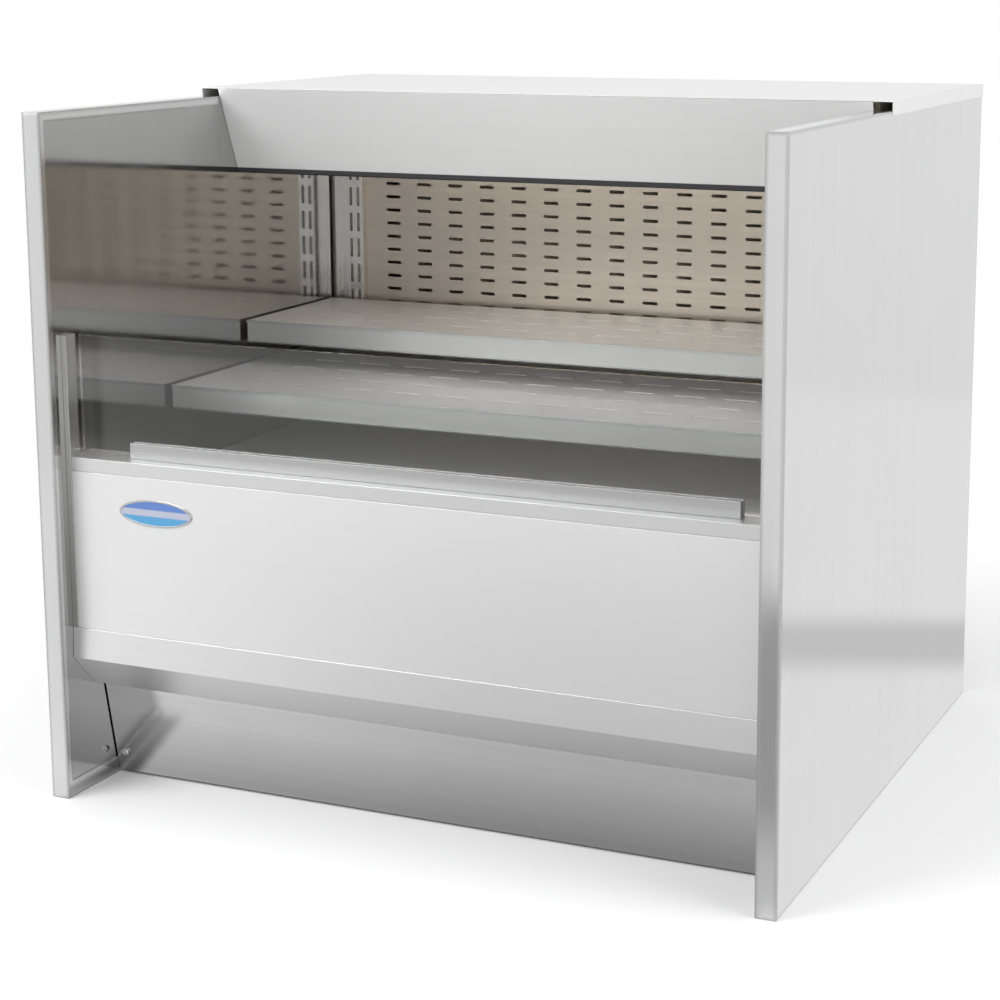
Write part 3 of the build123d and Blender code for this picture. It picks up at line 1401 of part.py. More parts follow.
def rear_grille_panel():
    """Louvred cover at the back of the machine compartment, round the control box."""
    sheet = centred_rectangle(
        -REAR_PANEL_HALF_WIDTH, REAR_PANEL_HALF_WIDTH, REAR_PANEL_BOTTOM_Z, REAR_PANEL_TOP_Z
    )
    louvres = [
        Pos(LOUVRE_CENTRE_X, LOUVRE_CENTRE_Z) * spot * SlotOverall(LOUVRE_LENGTH, LOUVRE_WIDTH)
        for spot in GridLocations(LOUVRE_PITCH_X, LOUVRE_PITCH_Z, LOUVRES_ACROSS, LOUVRES_UP)
    ]
    window = centred_rectangle(
        BOX_LEFT_X - FIT_GAP, BOX_RIGHT_X + FIT_GAP, machine_floor - FIT_GAP, BOX_TOP_Z + FIT_GAP
    )
    screw_holes = [Pos(x, z) * Circle(SCREW_HOLE_RADIUS) for x, z in rear_screw_spots()]
    front = BODY_REAR_DEPTH + FIT_GAP
    return upright_plate(pierced(sheet, [*louvres, window, *screw_holes]), front, SHEET)


def rear_panel_screws():
    """Six screws round the edge of the rear panel."""
    seat = BODY_REAR_DEPTH + 2 * FIT_GAP + SHEET
    length = SHEET + 2 * FIT_GAP
    screws = [
        pan_head_screw(x, seat, z, length, faces_back=True).solid() for x, z in rear_screw_spots()
    ]
    return Compound(children=screws)


def switch_block(x):
    """Solid block behind a rocker switch's window."""
    half_x = ROCKER_HALF_WIDTH + SWITCH_BLOCK_MARGIN
    half_z = ROCKER_HALF_HEIGHT + SWITCH_BLOCK_MARGIN
    return block(
        x - half_x,
        x + half_x,
        BOX_REAR_DEPTH - SWITCH_BLOCK_DEPTH,
        BOX_REAR_DEPTH,
        SWITCH_Z - half_z,
        SWITCH_Z + half_z,
    )


def switch_pocket(x):
    """Room for a rocker and its pivot pins in the switch block."""
    pivot_depth = BOX_REAR_DEPTH - ROCKER_PIVOT_SETBACK
    half_x = ROCKER_HALF_WIDTH + FIT_GAP
    half_z = ROCKER_HALF_HEIGHT + ROCKER_END_ROOM
    pocket = block(
        x - half_x,
        x + half_x,
        pivot_depth - ROCKER_BACK_ROOM,
        BOX_REAR_DEPTH + OVERLAP,
        SWITCH_Z - half_z,
        SWITCH_Z + half_z,
    )
    pin_half = ROCKER_HALF_WIDTH + ROCKER_PIVOT_REACH + FIT_GAP
    pin_radius = ROCKER_PIVOT_RADIUS + SHAFT_CLEARANCE
    return pocket + rod_x(x - pin_half, x + pin_half, pivot_depth, SWITCH_Z, pin_radius)


def rocker(x):
    """Rocker of a switch, with its two pivot pins."""
    pivot_depth = BOX_REAR_DEPTH - ROCKER_PIVOT_SETBACK
    body = rod_x(x - ROCKER_HALF_WIDTH, x + ROCKER_HALF_WIDTH, pivot_depth, SWITCH_Z, ROCKER_RADIUS)
    keep = block(
        x - ROCKER_HALF_WIDTH,
        x + ROCKER_HALF_WIDTH,
        pivot_depth - ROCKER_BACK,
        pivot_depth + ROCKER_RADIUS,
        SWITCH_Z - ROCKER_HALF_HEIGHT,
        SWITCH_Z + ROCKER_HALF_HEIGHT,
    )
    dish = rod_x(
        x - ROCKER_HALF_WIDTH,
        x + ROCKER_HALF_WIDTH,
        pivot_depth + ROCKER_DISH_SETBACK,
        SWITCH_Z,
        ROCKER_DISH_RADIUS,
    )
    pin_half = ROCKER_HALF_WIDTH + ROCKER_PIVOT_REACH
    return (body & keep) - dish + rod_x(x - pin_half, x + pin_half, pivot_depth, SWITCH_Z, ROCKER_PIVOT_RADIUS)


def control_box():
    """Electrical box behind the rear panel: switch blocks, thermostat shaft and cord inlet hole."""
    box = block(BOX_LEFT_X, BOX_RIGHT_X, BOX_FRONT_DEPTH, BOX_REAR_DEPTH, machine_floor, BOX_TOP_Z)
    hollow = block(
        BOX_LEFT_X + BOX_WALL,
        BOX_RIGHT_X - BOX_WALL,
        BOX_FRONT_DEPTH + BOX_WALL,
        BOX_REAR_DEPTH - BOX_WALL,
        machine_floor + BOX_WALL,
        BOX_TOP_Z - BOX_WALL,
    )
    box -= hollow
    for x in (POWER_SWITCH_X, LAMP_SWITCH_X):
        box += switch_block(x)
        box -= switch_pocket(x)
    shaft_end = BOX_REAR_DEPTH + KNOB_SHAFT_LENGTH
    box += rod_y(KNOB_X, BOX_REAR_DEPTH - BOX_WALL, shaft_end, KNOB_Z, KNOB_SHAFT_RADIUS)
    wall_front = BOX_REAR_DEPTH - BOX_WALL - OVERLAP
    return box - rod_y(GLAND_X, wall_front, BOX_REAR_DEPTH + OVERLAP, GLAND_Z, GLAND_BORE_RADIUS)


def thermostat_knob():
    """Temperature knob with a raised pointer."""
    front = BOX_REAR_DEPTH + FIT_GAP
    back = front + KNOB_HEIGHT
    knob = rod_y(KNOB_X, front, back, KNOB_Z, KNOB_RADIUS)
    knob = chamfer(knob.faces().sort_by(Axis.Y)[-1].edges(), KNOB_CHAMFER)
    knob += block(
        KNOB_X - KNOB_POINTER_WIDTH / 2,
        KNOB_X + KNOB_POINTER_WIDTH / 2,
        back - KNOB_POINTER_ROOT,
        back + KNOB_POINTER_PROUD,
        KNOB_Z,
        KNOB_Z + KNOB_POINTER_REACH,
    )
    bore = rod_y(KNOB_X, front - OVERLAP, back - KNOB_CAP, KNOB_Z, KNOB_SHAFT_RADIUS + SHAFT_CLEARANCE)
    return knob - bore


def power_inlet_gland():
    """Cord gland in the control box: a hexagon nut and a domed clamp."""
    seat = BOX_REAR_DEPTH + FIT_GAP
    plane = Plane(origin=(GLAND_X, y_at(seat), GLAND_Z), x_dir=(1, 0, 0), z_dir=(0, 1, 0))
    nut = extrude(plane * RegularPolygon(GLAND_NUT_FLATS / 2, 6, major_radius=False), amount=GLAND_NUT_LENGTH)
    nut_end = seat + GLAND_NUT_LENGTH
    dome = rod_y(GLAND_X, nut_end, nut_end + GLAND_DOME_LENGTH, GLAND_Z, GLAND_DOME_RADIUS)
    dome = chamfer(dome.faces().sort_by(Axis.Y)[-1].edges(), GLAND_DOME_CHAMFER)
    dome_end = nut_end + GLAND_DOME_LENGTH
    bore = rod_y(GLAND_X, seat - OVERLAP, dome_end + OVERLAP, GLAND_Z, GLAND_BORE_RADIUS)
    return nut + dome - bore


# Every sub-part, one node each

FEET = foot_spots()

PARTS = {
    "end_panel_left": mirrored(end_panel_skin()),
    "end_panel_right": end_panel_skin(),
    "end_panel_cores": both_sides(end_panel_core()),
    "end_liner_left": mirrored(end_panel_liner()),
    "end_liner_right": end_panel_liner(),
    "canopy_lid": canopy_lid(),
    "canopy_fascia": canopy_fascia(),
    "fascia_edge_strip": fascia_edge_strip(),
    "ceiling_panel": ceiling_panel(),
    "air_curtain_honeycomb": air_curtain_honeycomb(),
    "lamp_housing": lamp_housing(),
    "lamp_lens": lamp_lens(),
    "body_outer_shell": body_outer_shell(),
    "body_foam": body_foam(),
    "body_liner": body_liner(),
    "back_wall_panel": back_wall_panel(),
    "shelf_standards": both_sides(shelf_standard()),
    "shelf_lower": shelf_pan(LOWER_SHELF_FRONT_DEPTH, LOWER_SHELF_Z),
    "shelf_upper": shelf_pan(UPPER_SHELF_FRONT_DEPTH, UPPER_SHELF_Z),
    "shelf_lower_brackets": both_sides(lower_bracket()),
    "shelf_upper_brackets": both_sides(upper_bracket()),
    "shelf_lower_tag_strip": tag_strip(LOWER_SHELF_FRONT_DEPTH, LOWER_SHELF_Z),
    "shelf_upper_tag_strip": tag_strip(UPPER_SHELF_FRONT_DEPTH, UPPER_SHELF_Z),
    "deck_pan": deck_pan(),
    "return_air_grille": return_air_grille(),
    "fan_plenum": fan_plenum(),
    "evaporator_coil": evaporator_coil(),
    "evaporator_fan_left": evaporator_fan(-FAN_OFFSET_X),
    "evaporator_fan_right": evaporator_fan(FAN_OFFSET_X),
    "evaporator_fan_motors": both_sides(evaporator_motor(FAN_OFFSET_X)),
    "drain_tube": drain_tube(),
    "sill_cap": sill_cap(),
    "side_stiles": both_sides(side_stile()),
    "glass_channel": glass_channel(),
    "riser_glass": riser_glass(),
    "front_panel": front_panel(),
    "badge_plate": badge_plate(),
    "bumper_rail": bumper_rail(),
    "kick_panel": kick_panel(),
    "kick_screws": kick_screws(),
    "base_frame": base_frame(),
    "foot_front_left": levelling_foot(*FEET[0]),
    "foot_rear_left": levelling_foot(*FEET[1]),
    "foot_front_right": levelling_foot(*FEET[2]),
    "foot_rear_right": levelling_foot(*FEET[3]),
    "condensing_unit_tray": condensing_unit_tray(),
    "compressor": compressor(),
    "condenser_coil": condenser_coil(),
    "condenser_shroud": condenser_shroud(),
    "condenser_fan": condenser_fan(),
    "condenser_fan_motor": condenser_fan_motor(),
    "refrigerant_lines": refrigerant_lines(),
    "condensate_pan": condensate_pan(),
    "rear_grille_panel": rear_grille_panel(),
    "rear_panel_screws": rear_panel_screws(),
    "control_box": control_box(),
    "power_switch": rocker(POWER_SWITCH_X),
    "lamp_switch": rocker(LAMP_SWITCH_X),
    "thermostat_knob": thermostat_knob(),
    "power_inlet_gland": power_inlet_gland(),
}

os.makedirs("parts", exist_ok=True)
for node, shape in PARTS.items():
    export_step(shape, f"parts/{node}.step")
    print(node, len(shape.solids()), "solid(s)")
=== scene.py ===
# %% [markdown]
# # An open-front refrigerated display case
#
# This file dresses a finished CAD model of a low stainless display case.
# The sheet metal, shelves, glass and machinery already have their true shapes.
# What is added here is finish: brushed steel, glass, paint, plastic, small fittings and the light.
# Read it from the top, one cell at a time. Each step says what the real thing is before any code.

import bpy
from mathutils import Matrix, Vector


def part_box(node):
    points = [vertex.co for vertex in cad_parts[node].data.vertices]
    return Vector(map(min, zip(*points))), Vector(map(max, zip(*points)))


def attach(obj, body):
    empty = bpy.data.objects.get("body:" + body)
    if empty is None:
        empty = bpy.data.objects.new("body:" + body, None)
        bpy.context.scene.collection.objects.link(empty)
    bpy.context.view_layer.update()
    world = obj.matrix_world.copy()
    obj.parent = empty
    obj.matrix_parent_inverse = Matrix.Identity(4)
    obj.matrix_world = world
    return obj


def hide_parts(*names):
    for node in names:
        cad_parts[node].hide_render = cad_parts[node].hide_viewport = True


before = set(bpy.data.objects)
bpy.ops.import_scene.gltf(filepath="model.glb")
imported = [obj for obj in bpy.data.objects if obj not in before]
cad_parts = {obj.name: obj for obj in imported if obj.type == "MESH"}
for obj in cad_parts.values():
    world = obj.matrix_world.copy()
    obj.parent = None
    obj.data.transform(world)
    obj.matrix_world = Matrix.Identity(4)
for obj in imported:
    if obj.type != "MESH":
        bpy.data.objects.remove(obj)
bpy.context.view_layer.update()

# %% [markdown]
# ## The camera
#
# The picture looks down on the case from its front right corner.
# A long lens stands well back, so the upright edges stay nearly parallel.
# The camera is turned by three angles: to the left, down, and a hair of roll.
# A small shift does what a view camera does: it moves the frame without turning the camera further.

# %% Place the camera
import math

import bpy
import bmesh
from mathutils import Matrix, Vector

CAMERA_PLACE = Vector((1.1805, -2.6126, 1.0185))
TURN_LEFT = math.radians(23.690)
LOOK_DOWN = math.radians(10.533)
ROLL = math.radians(-0.150)
SENSOR_MM, LENS_MM = 36, 79.54
SHIFT_ACROSS, SHIFT_UP = -0.06, -0.11

lens = bpy.data.cameras.new("case_camera")
lens.sensor_width = SENSOR_MM
lens.lens = LENS_MM
lens.shift_x = SHIFT_ACROSS
lens.shift_y = SHIFT_UP
camera = bpy.data.objects.new("case_camera", lens)
turn = Matrix.Rotation(TURN_LEFT, 4, "Z")
tilt = Matrix.Rotation(math.pi / 2 - LOOK_DOWN, 4, "X")
roll = Matrix.Rotation(ROLL, 4, "Z")
camera.matrix_world = Matrix.Translation(CAMERA_PLACE) @ turn @ tilt @ roll
bpy.context.scene.collection.objects.link(camera)
bpy.context.scene.camera = camera
bpy.context.scene.view_settings.view_transform = "Standard"
print("camera at", [round(v, 3) for v in camera.location], "lens", lens.lens)

# %% [markdown]
# ## Working with nodes
#
# Materials and the world are node trees, wired as you would by hand in the shader editor.
# One helper adds a node, sets it up and plugs things in, so that each line of this file is one node.
# A socket that is passed in gets a wire, and a plain number or colour is typed into the input.

# %% Helpers for node trees
def feed(tree, node, inputs):
    """Fills a node's inputs, by name or number: a socket is wired to it, a constant is set on it."""
    for slot, value in inputs.items():
        socket = node.inputs[slot]
        if isinstance(value, bpy.types.NodeSocket):
            tree.links.new(value, socket)
        elif socket.type == "RGBA":
            socket.default_value = (*value, 1)
        else:
            socket.default_value = value


def add_node(tree, kind, inputs=None, **settings):
    """Adds a shader node with its settings and inputs, and returns it."""
    node = tree.nodes.new("ShaderNode" + kind)
    for name, value in settings.items():
        setattr(node, name, value)
    feed(tree, node, inputs or {})
    return node


def maths(tree, kind, first, second=0.0):
    """A Math node's value. Each side is a socket or a number."""
    return add_node(tree, "Math", {0: first, 1: second}, operation=kind).outputs["Value"]


def times(tree, first, second):
    """One value times another."""
    return maths(tree, "MULTIPLY", first, second)


def plus(tree, first, second):
    """The sum of two values."""
    return maths(tree, "ADD", first, second)


def minus(tree, first, second):
    """One value less another."""
    return maths(tree, "SUBTRACT", first, second)


def rise(tree, value, start, end, shape="SMOOTHSTEP"):
    """A value that climbs from 0 to 1 while another goes from start to end."""
    inputs = {"Value": value, "From Min": start, "From Max": end}
    return add_node(tree, "MapRange", inputs, interpolation_type=shape).outputs["Result"]


def noise(tree, vector, scale, detail=2.0, roughness=0.5):
    """A noise texture's value over a vector."""
    inputs = {"Vector": vector, "Scale": scale, "Detail": detail, "Roughness": roughness}
    return add_node(tree, "TexNoise", inputs).outputs["Fac"]


def blend_colour(tree, share, first, second):
    """A mix of two colours, each a socket or an (r, g, b) tuple."""
    node = add_node(tree, "Mix", {"Factor": share}, data_type="RGBA")
    sides = [slot for slot, socket in enumerate(node.inputs) if socket.type == "RGBA"]
    feed(tree, node, dict(zip(sides, (first, second))))
    return next(socket for socket in node.outputs if socket.type == "RGBA")


def mix_shaders(tree, share, first, second):
    """A mix of two shaders."""
    return add_node(tree, "MixShader", {"Fac": share, 1: first, 2: second}).outputs["Shader"]


def grey(tone):
    """A neutral colour."""
    return (tone, tone, tone)


def grey_ramp(tree, value, stops):
    """A grey that follows (position, tone) stops along a value."""
    node = add_node(tree, "ValToRGB", {"Fac": value})
    band = node.color_ramp.elements
    for number, (place, tone) in enumerate(stops):
        stop = band[number] if number < 2 else band.new(place)
        stop.position = place
        stop.color = (*grey(tone), 1)
    return node.outputs["Color"]


print("node helpers ready")

# %% [markdown]
# ## The room
#
# Bare steel has almost no colour of its own. What you see on it is the room.
# A photographed room would do, but a plain gradient is quieter and shows each fold more clearly.
# So the world is made for the steel: pale all round, a touch darker low down and high up.
# Rays that go straight to the camera find plain white, and rays that light matt surfaces find an
# even pale grey. Light Path tells those rays apart.

# %% Build the world
world = bpy.data.worlds.new("studio_room")
bpy.context.scene.world = world
world.use_nodes = True
room = world.node_tree
room.nodes.clear()
direction = add_node(room, "TexCoord").outputs["Generated"]
climb = add_node(room, "SeparateXYZ", {"Vector": direction}).outputs["Z"]
walls = grey_ramp(room, rise(room, climb, -1, 1, "LINEAR"), [
    (0.0, 0.62), (0.38, 0.80), (0.47, 0.84), (0.60, 0.88), (0.80, 0.66), (1.0, 0.60)])
seen_in_steel = add_node(room, "Background", {"Color": walls}).outputs["Background"]
seen_directly = add_node(room, "Background", {"Color": grey(1)}).outputs["Background"]
lights_matt = add_node(room, "Background", {"Color": grey(1), "Strength": 0.76}).outputs["Background"]
path = add_node(room, "LightPath").outputs
mirrored_or_matt = mix_shaders(room, path["Is Glossy Ray"], lights_matt, seen_in_steel)
through = maths(room, "MAXIMUM", path["Is Camera Ray"], path["Is Transmission Ray"])
add_node(room, "OutputWorld", {"Surface": mix_shaders(room, through, mirrored_or_matt, seen_directly)})
print("world nodes:", len(room.nodes))

# %% [markdown]
# ## Operators, with nothing left selected
#
# The floor and the small fittings are modelled as you would by hand: add a primitive, press Tab for
# edit mode, pick faces or edges, and inset, extrude or bevel them.
# Each short helper below stands for one key: Tab, Ctrl A, I, E and Ctrl B.
# Operators act on everything that is selected, so each piece starts with nothing selected.
# Faces and edges are picked by where they are or which way they look.

# %% Helpers for operators
def start_clean():
    """Leaves edit mode and deselects everything, so that an operator acts on one piece only."""
    if bpy.context.object and bpy.context.object.mode != "OBJECT":
        bpy.ops.object.mode_set(mode="OBJECT")
    bpy.ops.object.select_all(action="DESELECT")


def make_active(*pieces):
    """Selects these pieces alone. The first one becomes the active piece."""
    start_clean()
    for piece in pieces:
        piece.select_set(True)
    bpy.context.view_layer.objects.active = pieces[0]


def edit_mode():
    """Tab, into edit mode."""
    bpy.ops.object.mode_set(mode="EDIT")


def object_mode():
    """Tab, back to object mode."""
    bpy.ops.object.mode_set(mode="OBJECT")


def apply_placement():
    """Ctrl A: writes place, turn and scale into the mesh, so the piece's origin is the world's."""
    bpy.ops.object.transform_apply(location=True, rotation=True, scale=True)


def inset(width, depth=0.0):
    """I: insets the picked faces as one patch. A negative depth sinks the patch."""
    bpy.ops.mesh.inset(thickness=width, depth=depth)


def extrude(*shift):
    """E: draws the picked faces out by (x, y, z)."""
    bpy.ops.mesh.extrude_region_move(TRANSFORM_OT_translate={"value": shift})


def round_edges(width, segments):
    """Ctrl B: bevels the picked edges."""
    bpy.ops.mesh.bevel(offset=width, segments=segments, affect="EDGES")


def pick(kind, test):
    """Selects the faces or edges whose middle and direction (a face's normal) pass a test."""
    mesh = bmesh.from_edit_mesh(bpy.context.edit_object.data)
    bpy.ops.mesh.select_mode(type=kind)
    bpy.ops.mesh.select_all(action="DESELECT")
    for part in mesh.faces if kind == "FACE" else mesh.edges:
        middle = sum((v.co for v in part.verts), Vector()) / len(part.verts)
        if kind == "FACE":
            way = part.normal
        else:
            way = (part.verts[0].co - part.verts[1].co).normalized()
        if test(middle, way):
            part.select_set(True)
    mesh.select_flush_mode()
    bmesh.update_edit_mesh(bpy.context.edit_object.data)


def at_level(axis, level):
    """A test for pick: the middle lies at this place along an axis."""
    number = "XYZ".index(axis)
    return lambda middle, way: abs(middle[number] - level) < 1e-5


def looks(axis, sign=1):
    """A test for pick: the face looks along an axis, or against it."""
    number = "XYZ".index(axis)
    return lambda middle, way: sign * way[number] > 0.99


print("operator helpers ready")

# %% [markdown]
# ## Floor and lamps
#
# The floor is a plain pale sheet that keeps the case's soft shadow.
# Away from the case it fades to pure white, so no edge shows where it ends.
# Upright steel seen from above mirrors the floor, and a plain white floor would leave it flat.
# So the steel gets a floor of its own, for glossy rays only. It is pale, with painted shade: a grey
# patch in front of the case that darkens under it, a thin grey band beside it and a shade along the left
# panel's foot.
# The painted patch shades the lower half of the case in its reflections, and its far edge is the line
# across the right front lip.
# Two broad lamps work as soft boxes, a key from the front left and a weaker fill from the right,
# and a faint third hangs above. A broad lamp gives a soft shadow, and its reflection in brushed
# steel is a gentle sheen rather than a hot spot.

# %% Lay the floor
start_clean()
bpy.ops.mesh.primitive_plane_add(size=1, location=(0, 0.35, 0))
floor = bpy.context.object
floor.name = "studio_floor"
floor.scale = (5.0, 4.6, 1)
apply_placement()
print("floor size:", [round(side, 2) for side in floor.dimensions])

# %% Paint the floor that the camera sees
def fresh_material(name):
    """A new material with its node tree, its Principled shader and an object coordinate."""
    material = bpy.data.materials.new(name)
    material.use_nodes = True
    tree = material.node_tree
    return material, tree, tree.nodes["Principled BSDF"], add_node(tree, "TexCoord").outputs["Object"]


floor_paint, tree, matt, spot = fresh_material("studio_floor_white")
feed(tree, matt, {"Base Color": grey(0.92), "Roughness": 0.9, "Specular IOR Level": 0.0})
rays = add_node(tree, "LightPath").outputs
distance = add_node(tree, "VectorMath", {0: spot}, operation="LENGTH").outputs["Value"]
open_floor = times(tree, rise(tree, distance, 0.62, 1.35), rays["Is Camera Ray"])
pure_white = add_node(tree, "Emission").outputs["Emission"]
seen_floor = mix_shaders(tree, open_floor, matt.outputs["BSDF"], pure_white)
floor.data.materials.append(floor_paint)
print(floor_paint.name, len(tree.nodes), "nodes")

# %% Paint the floor that the steel mirrors
across = add_node(tree, "SeparateXYZ", {"Vector": spot}).outputs
x_side, y_ahead = across["X"], across["Y"]
# Painted shade in the mirrored floor: a grey patch in front of the case, darkest near and under it.
ahead = rise(tree, y_ahead, -1.95, -0.25, "LINEAR")
shade_ramp_left = grey_ramp(tree, ahead, [
    (0.0, 0.86), (0.70, 0.88), (0.85, 0.94), (0.89, 0.90), (0.95, 0.55), (1.0, 0.40)])
shade_ramp_right = grey_ramp(tree, ahead, [
    (0.0, 0.84), (0.155, 0.84), (0.195, 0.35), (0.70, 0.37),
    (0.80, 0.58), (0.88, 0.62), (0.95, 0.33), (1.0, 0.26)])
slant = minus(tree, x_side, times(tree, y_ahead, 0.55))
shade_ramp_share = rise(tree, slant, -0.45, 0.50)
painted_shade_tone = add_node(tree, "Mix", {"Factor": shade_ramp_share, "A": shade_ramp_left, "B": shade_ramp_right}).outputs["Result"]

# A thin band of painted shade beside the case, seen in the right end panel.
along = plus(tree, times(tree, x_side, 0.39), times(tree, y_ahead, 0.92))
painted_shade_band = times(tree, rise(tree, along, 0.64, 0.78), rise(tree, along, 1.02, 0.88))
beside = minus(tree, 0.86, times(tree, painted_shade_band, 0.24))

off_middle = maths(tree, "ABSOLUTE", x_side)
# Where the painted shade lies: under the case and on the patch in front of it.
under_case = times(tree, rise(tree, y_ahead, -0.10, -0.26), rise(tree, off_middle, 0.475, 0.445))
in_front_shade = times(tree, rise(tree, y_ahead, -0.41, -0.50), rise(tree, x_side, 0.66, 0.47))
where_painted_shade = maths(tree, "MAXIMUM", in_front_shade, under_case)
tone = add_node(tree, "Mix", {"Factor": where_painted_shade, "A": beside, "B": painted_shade_tone}).outputs["Result"]

by_left_panel = times(tree, rise(tree, x_side, -0.418, -0.440), rise(tree, x_side, -0.481, -0.462))
foot_shade = times(tree, by_left_panel, rise(tree, y_ahead, -0.45, -0.42))
steel_floor = minus(tree, tone, times(tree, foot_shade, 0.40))
mirrored = add_node(tree, "Emission", {"Strength": steel_floor}).outputs["Emission"]
whole_floor = mix_shaders(tree, rays["Is Glossy Ray"], seen_floor, mirrored)
feed(tree, tree.nodes["Material Output"], {"Surface": whole_floor})
print(floor_paint.name, len(tree.nodes), "nodes with the mirrored floor")

# %% Hang the lamps
def soft_box(name, place, aim, width, power):
    """A square area lamp that points from one place to another."""
    lamp = bpy.data.lights.new(name, "AREA")
    lamp.size = width
    lamp.energy = power
    holder = bpy.data.objects.new(name, lamp)
    holder.location = place
    holder.rotation_euler = (Vector(aim) - Vector(place)).to_track_quat("-Z", "Y").to_euler()
    bpy.context.scene.collection.objects.link(holder)


CASE_MIDDLE = (0, 0, 0.4)
soft_box("key_soft_box", (-1.9, -2.6, 2.9), CASE_MIDDLE, 2.2, 80)
soft_box("fill_soft_box", (2.8, -0.6, 2.2), CASE_MIDDLE, 2.0, 32)
soft_box("top_soft_box", (0.2, 0.4, 3.2), CASE_MIDDLE, 2.4, 7)
print("lamps:", [light.name for light in bpy.data.lights])

# %% [markdown]
# ## Shader groups: effects that many finishes share
#
# A finish is built like paint in layers, and several layers turn up again and again.
# Each one is made once as a node group and placed in each material with its own numbers:
#
# - **sheet_grain**: the fine parallel scratches of brushed metal, with broader streaks between them.
# - **handling_marks**: large soft patches where hands and cloths have changed the shine a little.
# - **rolled_edges**: a rounded normal at every sharp edge, and a mask of those edges for wear, which on
#   the end panels paints shade along the folds.
# - **cast_skin**: the fine pebbled skin of powder coat, moulded plastic and cast parts.
#
# A group puts out colours, masks and heights that vary over the surface.
# The shader itself stays in the material.

# %% A helper that makes a group with named sockets
def new_group(name, inputs, outputs):
    """A shader group with its end nodes. Inputs are (name, kind, start value), outputs (name, kind)."""
    group = bpy.data.node_groups.new(name, "ShaderNodeTree")
    for label, kind, start in inputs:
        socket = group.interface.new_socket(label, in_out="INPUT", socket_type="NodeSocket" + kind)
        if start is not None:
            socket.default_value = start
    for label, kind in outputs:
        group.interface.new_socket(label, in_out="OUTPUT", socket_type="NodeSocket" + kind)
    return group, group.nodes.new("NodeGroupInput").outputs, group.nodes.new("NodeGroupOutput")


def finish_group(group, leave, results):
    """Plugs a group's results into its end node."""
    feed(group, leave, results)
    print(group.name, len(group.nodes), "nodes")


# %% The brushed grain
grain_group, entry, leave = new_group(
    "sheet_grain",
    [("Vector", "Vector", None), ("Bright", "Color", (0.8, 0.8, 0.8, 1)),
     ("Dull", "Color", (0.7, 0.7, 0.7, 1)), ("Roughness", "Float", 0.25), ("Spread", "Float", 0.08)],
    [("Colour", "Color"), ("Roughness", "Float"), ("Height", "Float")],
)
fine = times(grain_group, noise(grain_group, entry["Vector"], 1.0, 3.0, 0.6), 0.55)
streak = times(grain_group, noise(grain_group, entry["Vector"], 0.09), 0.45)
both = plus(grain_group, fine, streak)
share = rise(grain_group, both, 0.35, 0.65, "LINEAR")
swing = times(grain_group, minus(grain_group, share, 0.5), entry["Spread"])
finish_group(grain_group, leave, {
    "Colour": blend_colour(grain_group, share, entry["Dull"], entry["Bright"]),
    "Roughness": minus(grain_group, entry["Roughness"], swing),
    "Height": both,
})

# %% Marks of hands and cloths
marks_group, entry, leave = new_group(
    "handling_marks",
    [("Vector", "Vector", None), ("Colour", "Color", (0.7, 0.7, 0.7, 1)),
     ("Tint", "Color", (0.6, 0.6, 0.6, 1)), ("Roughness", "Float", 0.25), ("Amount", "Float", 0.2)],
    [("Colour", "Color"), ("Roughness", "Float")],
)
cloud = noise(marks_group, entry["Vector"], 3.1, 4.0, 0.55)
wipe = noise(marks_group, entry["Vector"], 9.0, 3.0)
average = times(marks_group, plus(marks_group, cloud, wipe), 0.5)
share = times(marks_group, rise(marks_group, average, 0.42, 0.68), entry["Amount"])
duller = times(marks_group, share, 0.25)
finish_group(marks_group, leave, {
    "Colour": blend_colour(marks_group, share, entry["Colour"], entry["Tint"]),
    "Roughness": plus(marks_group, entry["Roughness"], duller),
})

# %% Rounded edges, their wear and painted fold shade
edge_group, entry, leave = new_group(
    "rolled_edges",
    [("Radius", "Float", 0.001), ("Colour", "Color", (0.7, 0.7, 0.7, 1)),
     ("Edge", "Color", (0.85, 0.85, 0.85, 1)), ("Amount", "Float", 0.5)],
    [("Colour", "Color"), ("Normal", "Vector")],
)
rounded = add_node(edge_group, "Bevel", {"Radius": entry["Radius"]}, samples=4).outputs["Normal"]
flat = add_node(edge_group, "NewGeometry").outputs["Normal"]
likeness = add_node(edge_group, "VectorMath", {0: rounded, 1: flat}, operation="DOT_PRODUCT")
mask = rise(edge_group, likeness.outputs["Value"], 0.995, 0.85, "LINEAR")
share = times(edge_group, mask, entry["Amount"])
finish_group(edge_group, leave, {
    "Colour": blend_colour(edge_group, share, entry["Colour"], entry["Edge"]),
    "Normal": rounded,
})

# %% The skin of coatings and mouldings
skin_group, entry, leave = new_group(
    "cast_skin",
    [("Vector", "Vector", None), ("Scale", "Float", 900.0), ("Light", "Color", (0.5, 0.5, 0.5, 1)),
     ("Dark", "Color", (0.45, 0.45, 0.45, 1)), ("Roughness", "Float", 0.45), ("Spread", "Float", 0.1)],
    [("Colour", "Color"), ("Roughness", "Float"), ("Height", "Float")],
)
pebble = noise(skin_group, entry["Vector"], entry["Scale"])
drift = noise(skin_group, entry["Vector"], 14.0, 3.0)
mottle = plus(skin_group, times(skin_group, pebble, 0.35),
               times(skin_group, drift, 0.65))
swing = times(skin_group, minus(skin_group, drift, 0.5), entry["Spread"])
finish_group(skin_group, leave, {
    "Colour": blend_colour(skin_group, mottle, entry["Dark"], entry["Light"]),
    "Roughness": plus(skin_group, entry["Roughness"], swing),
    "Height": pebble,
})

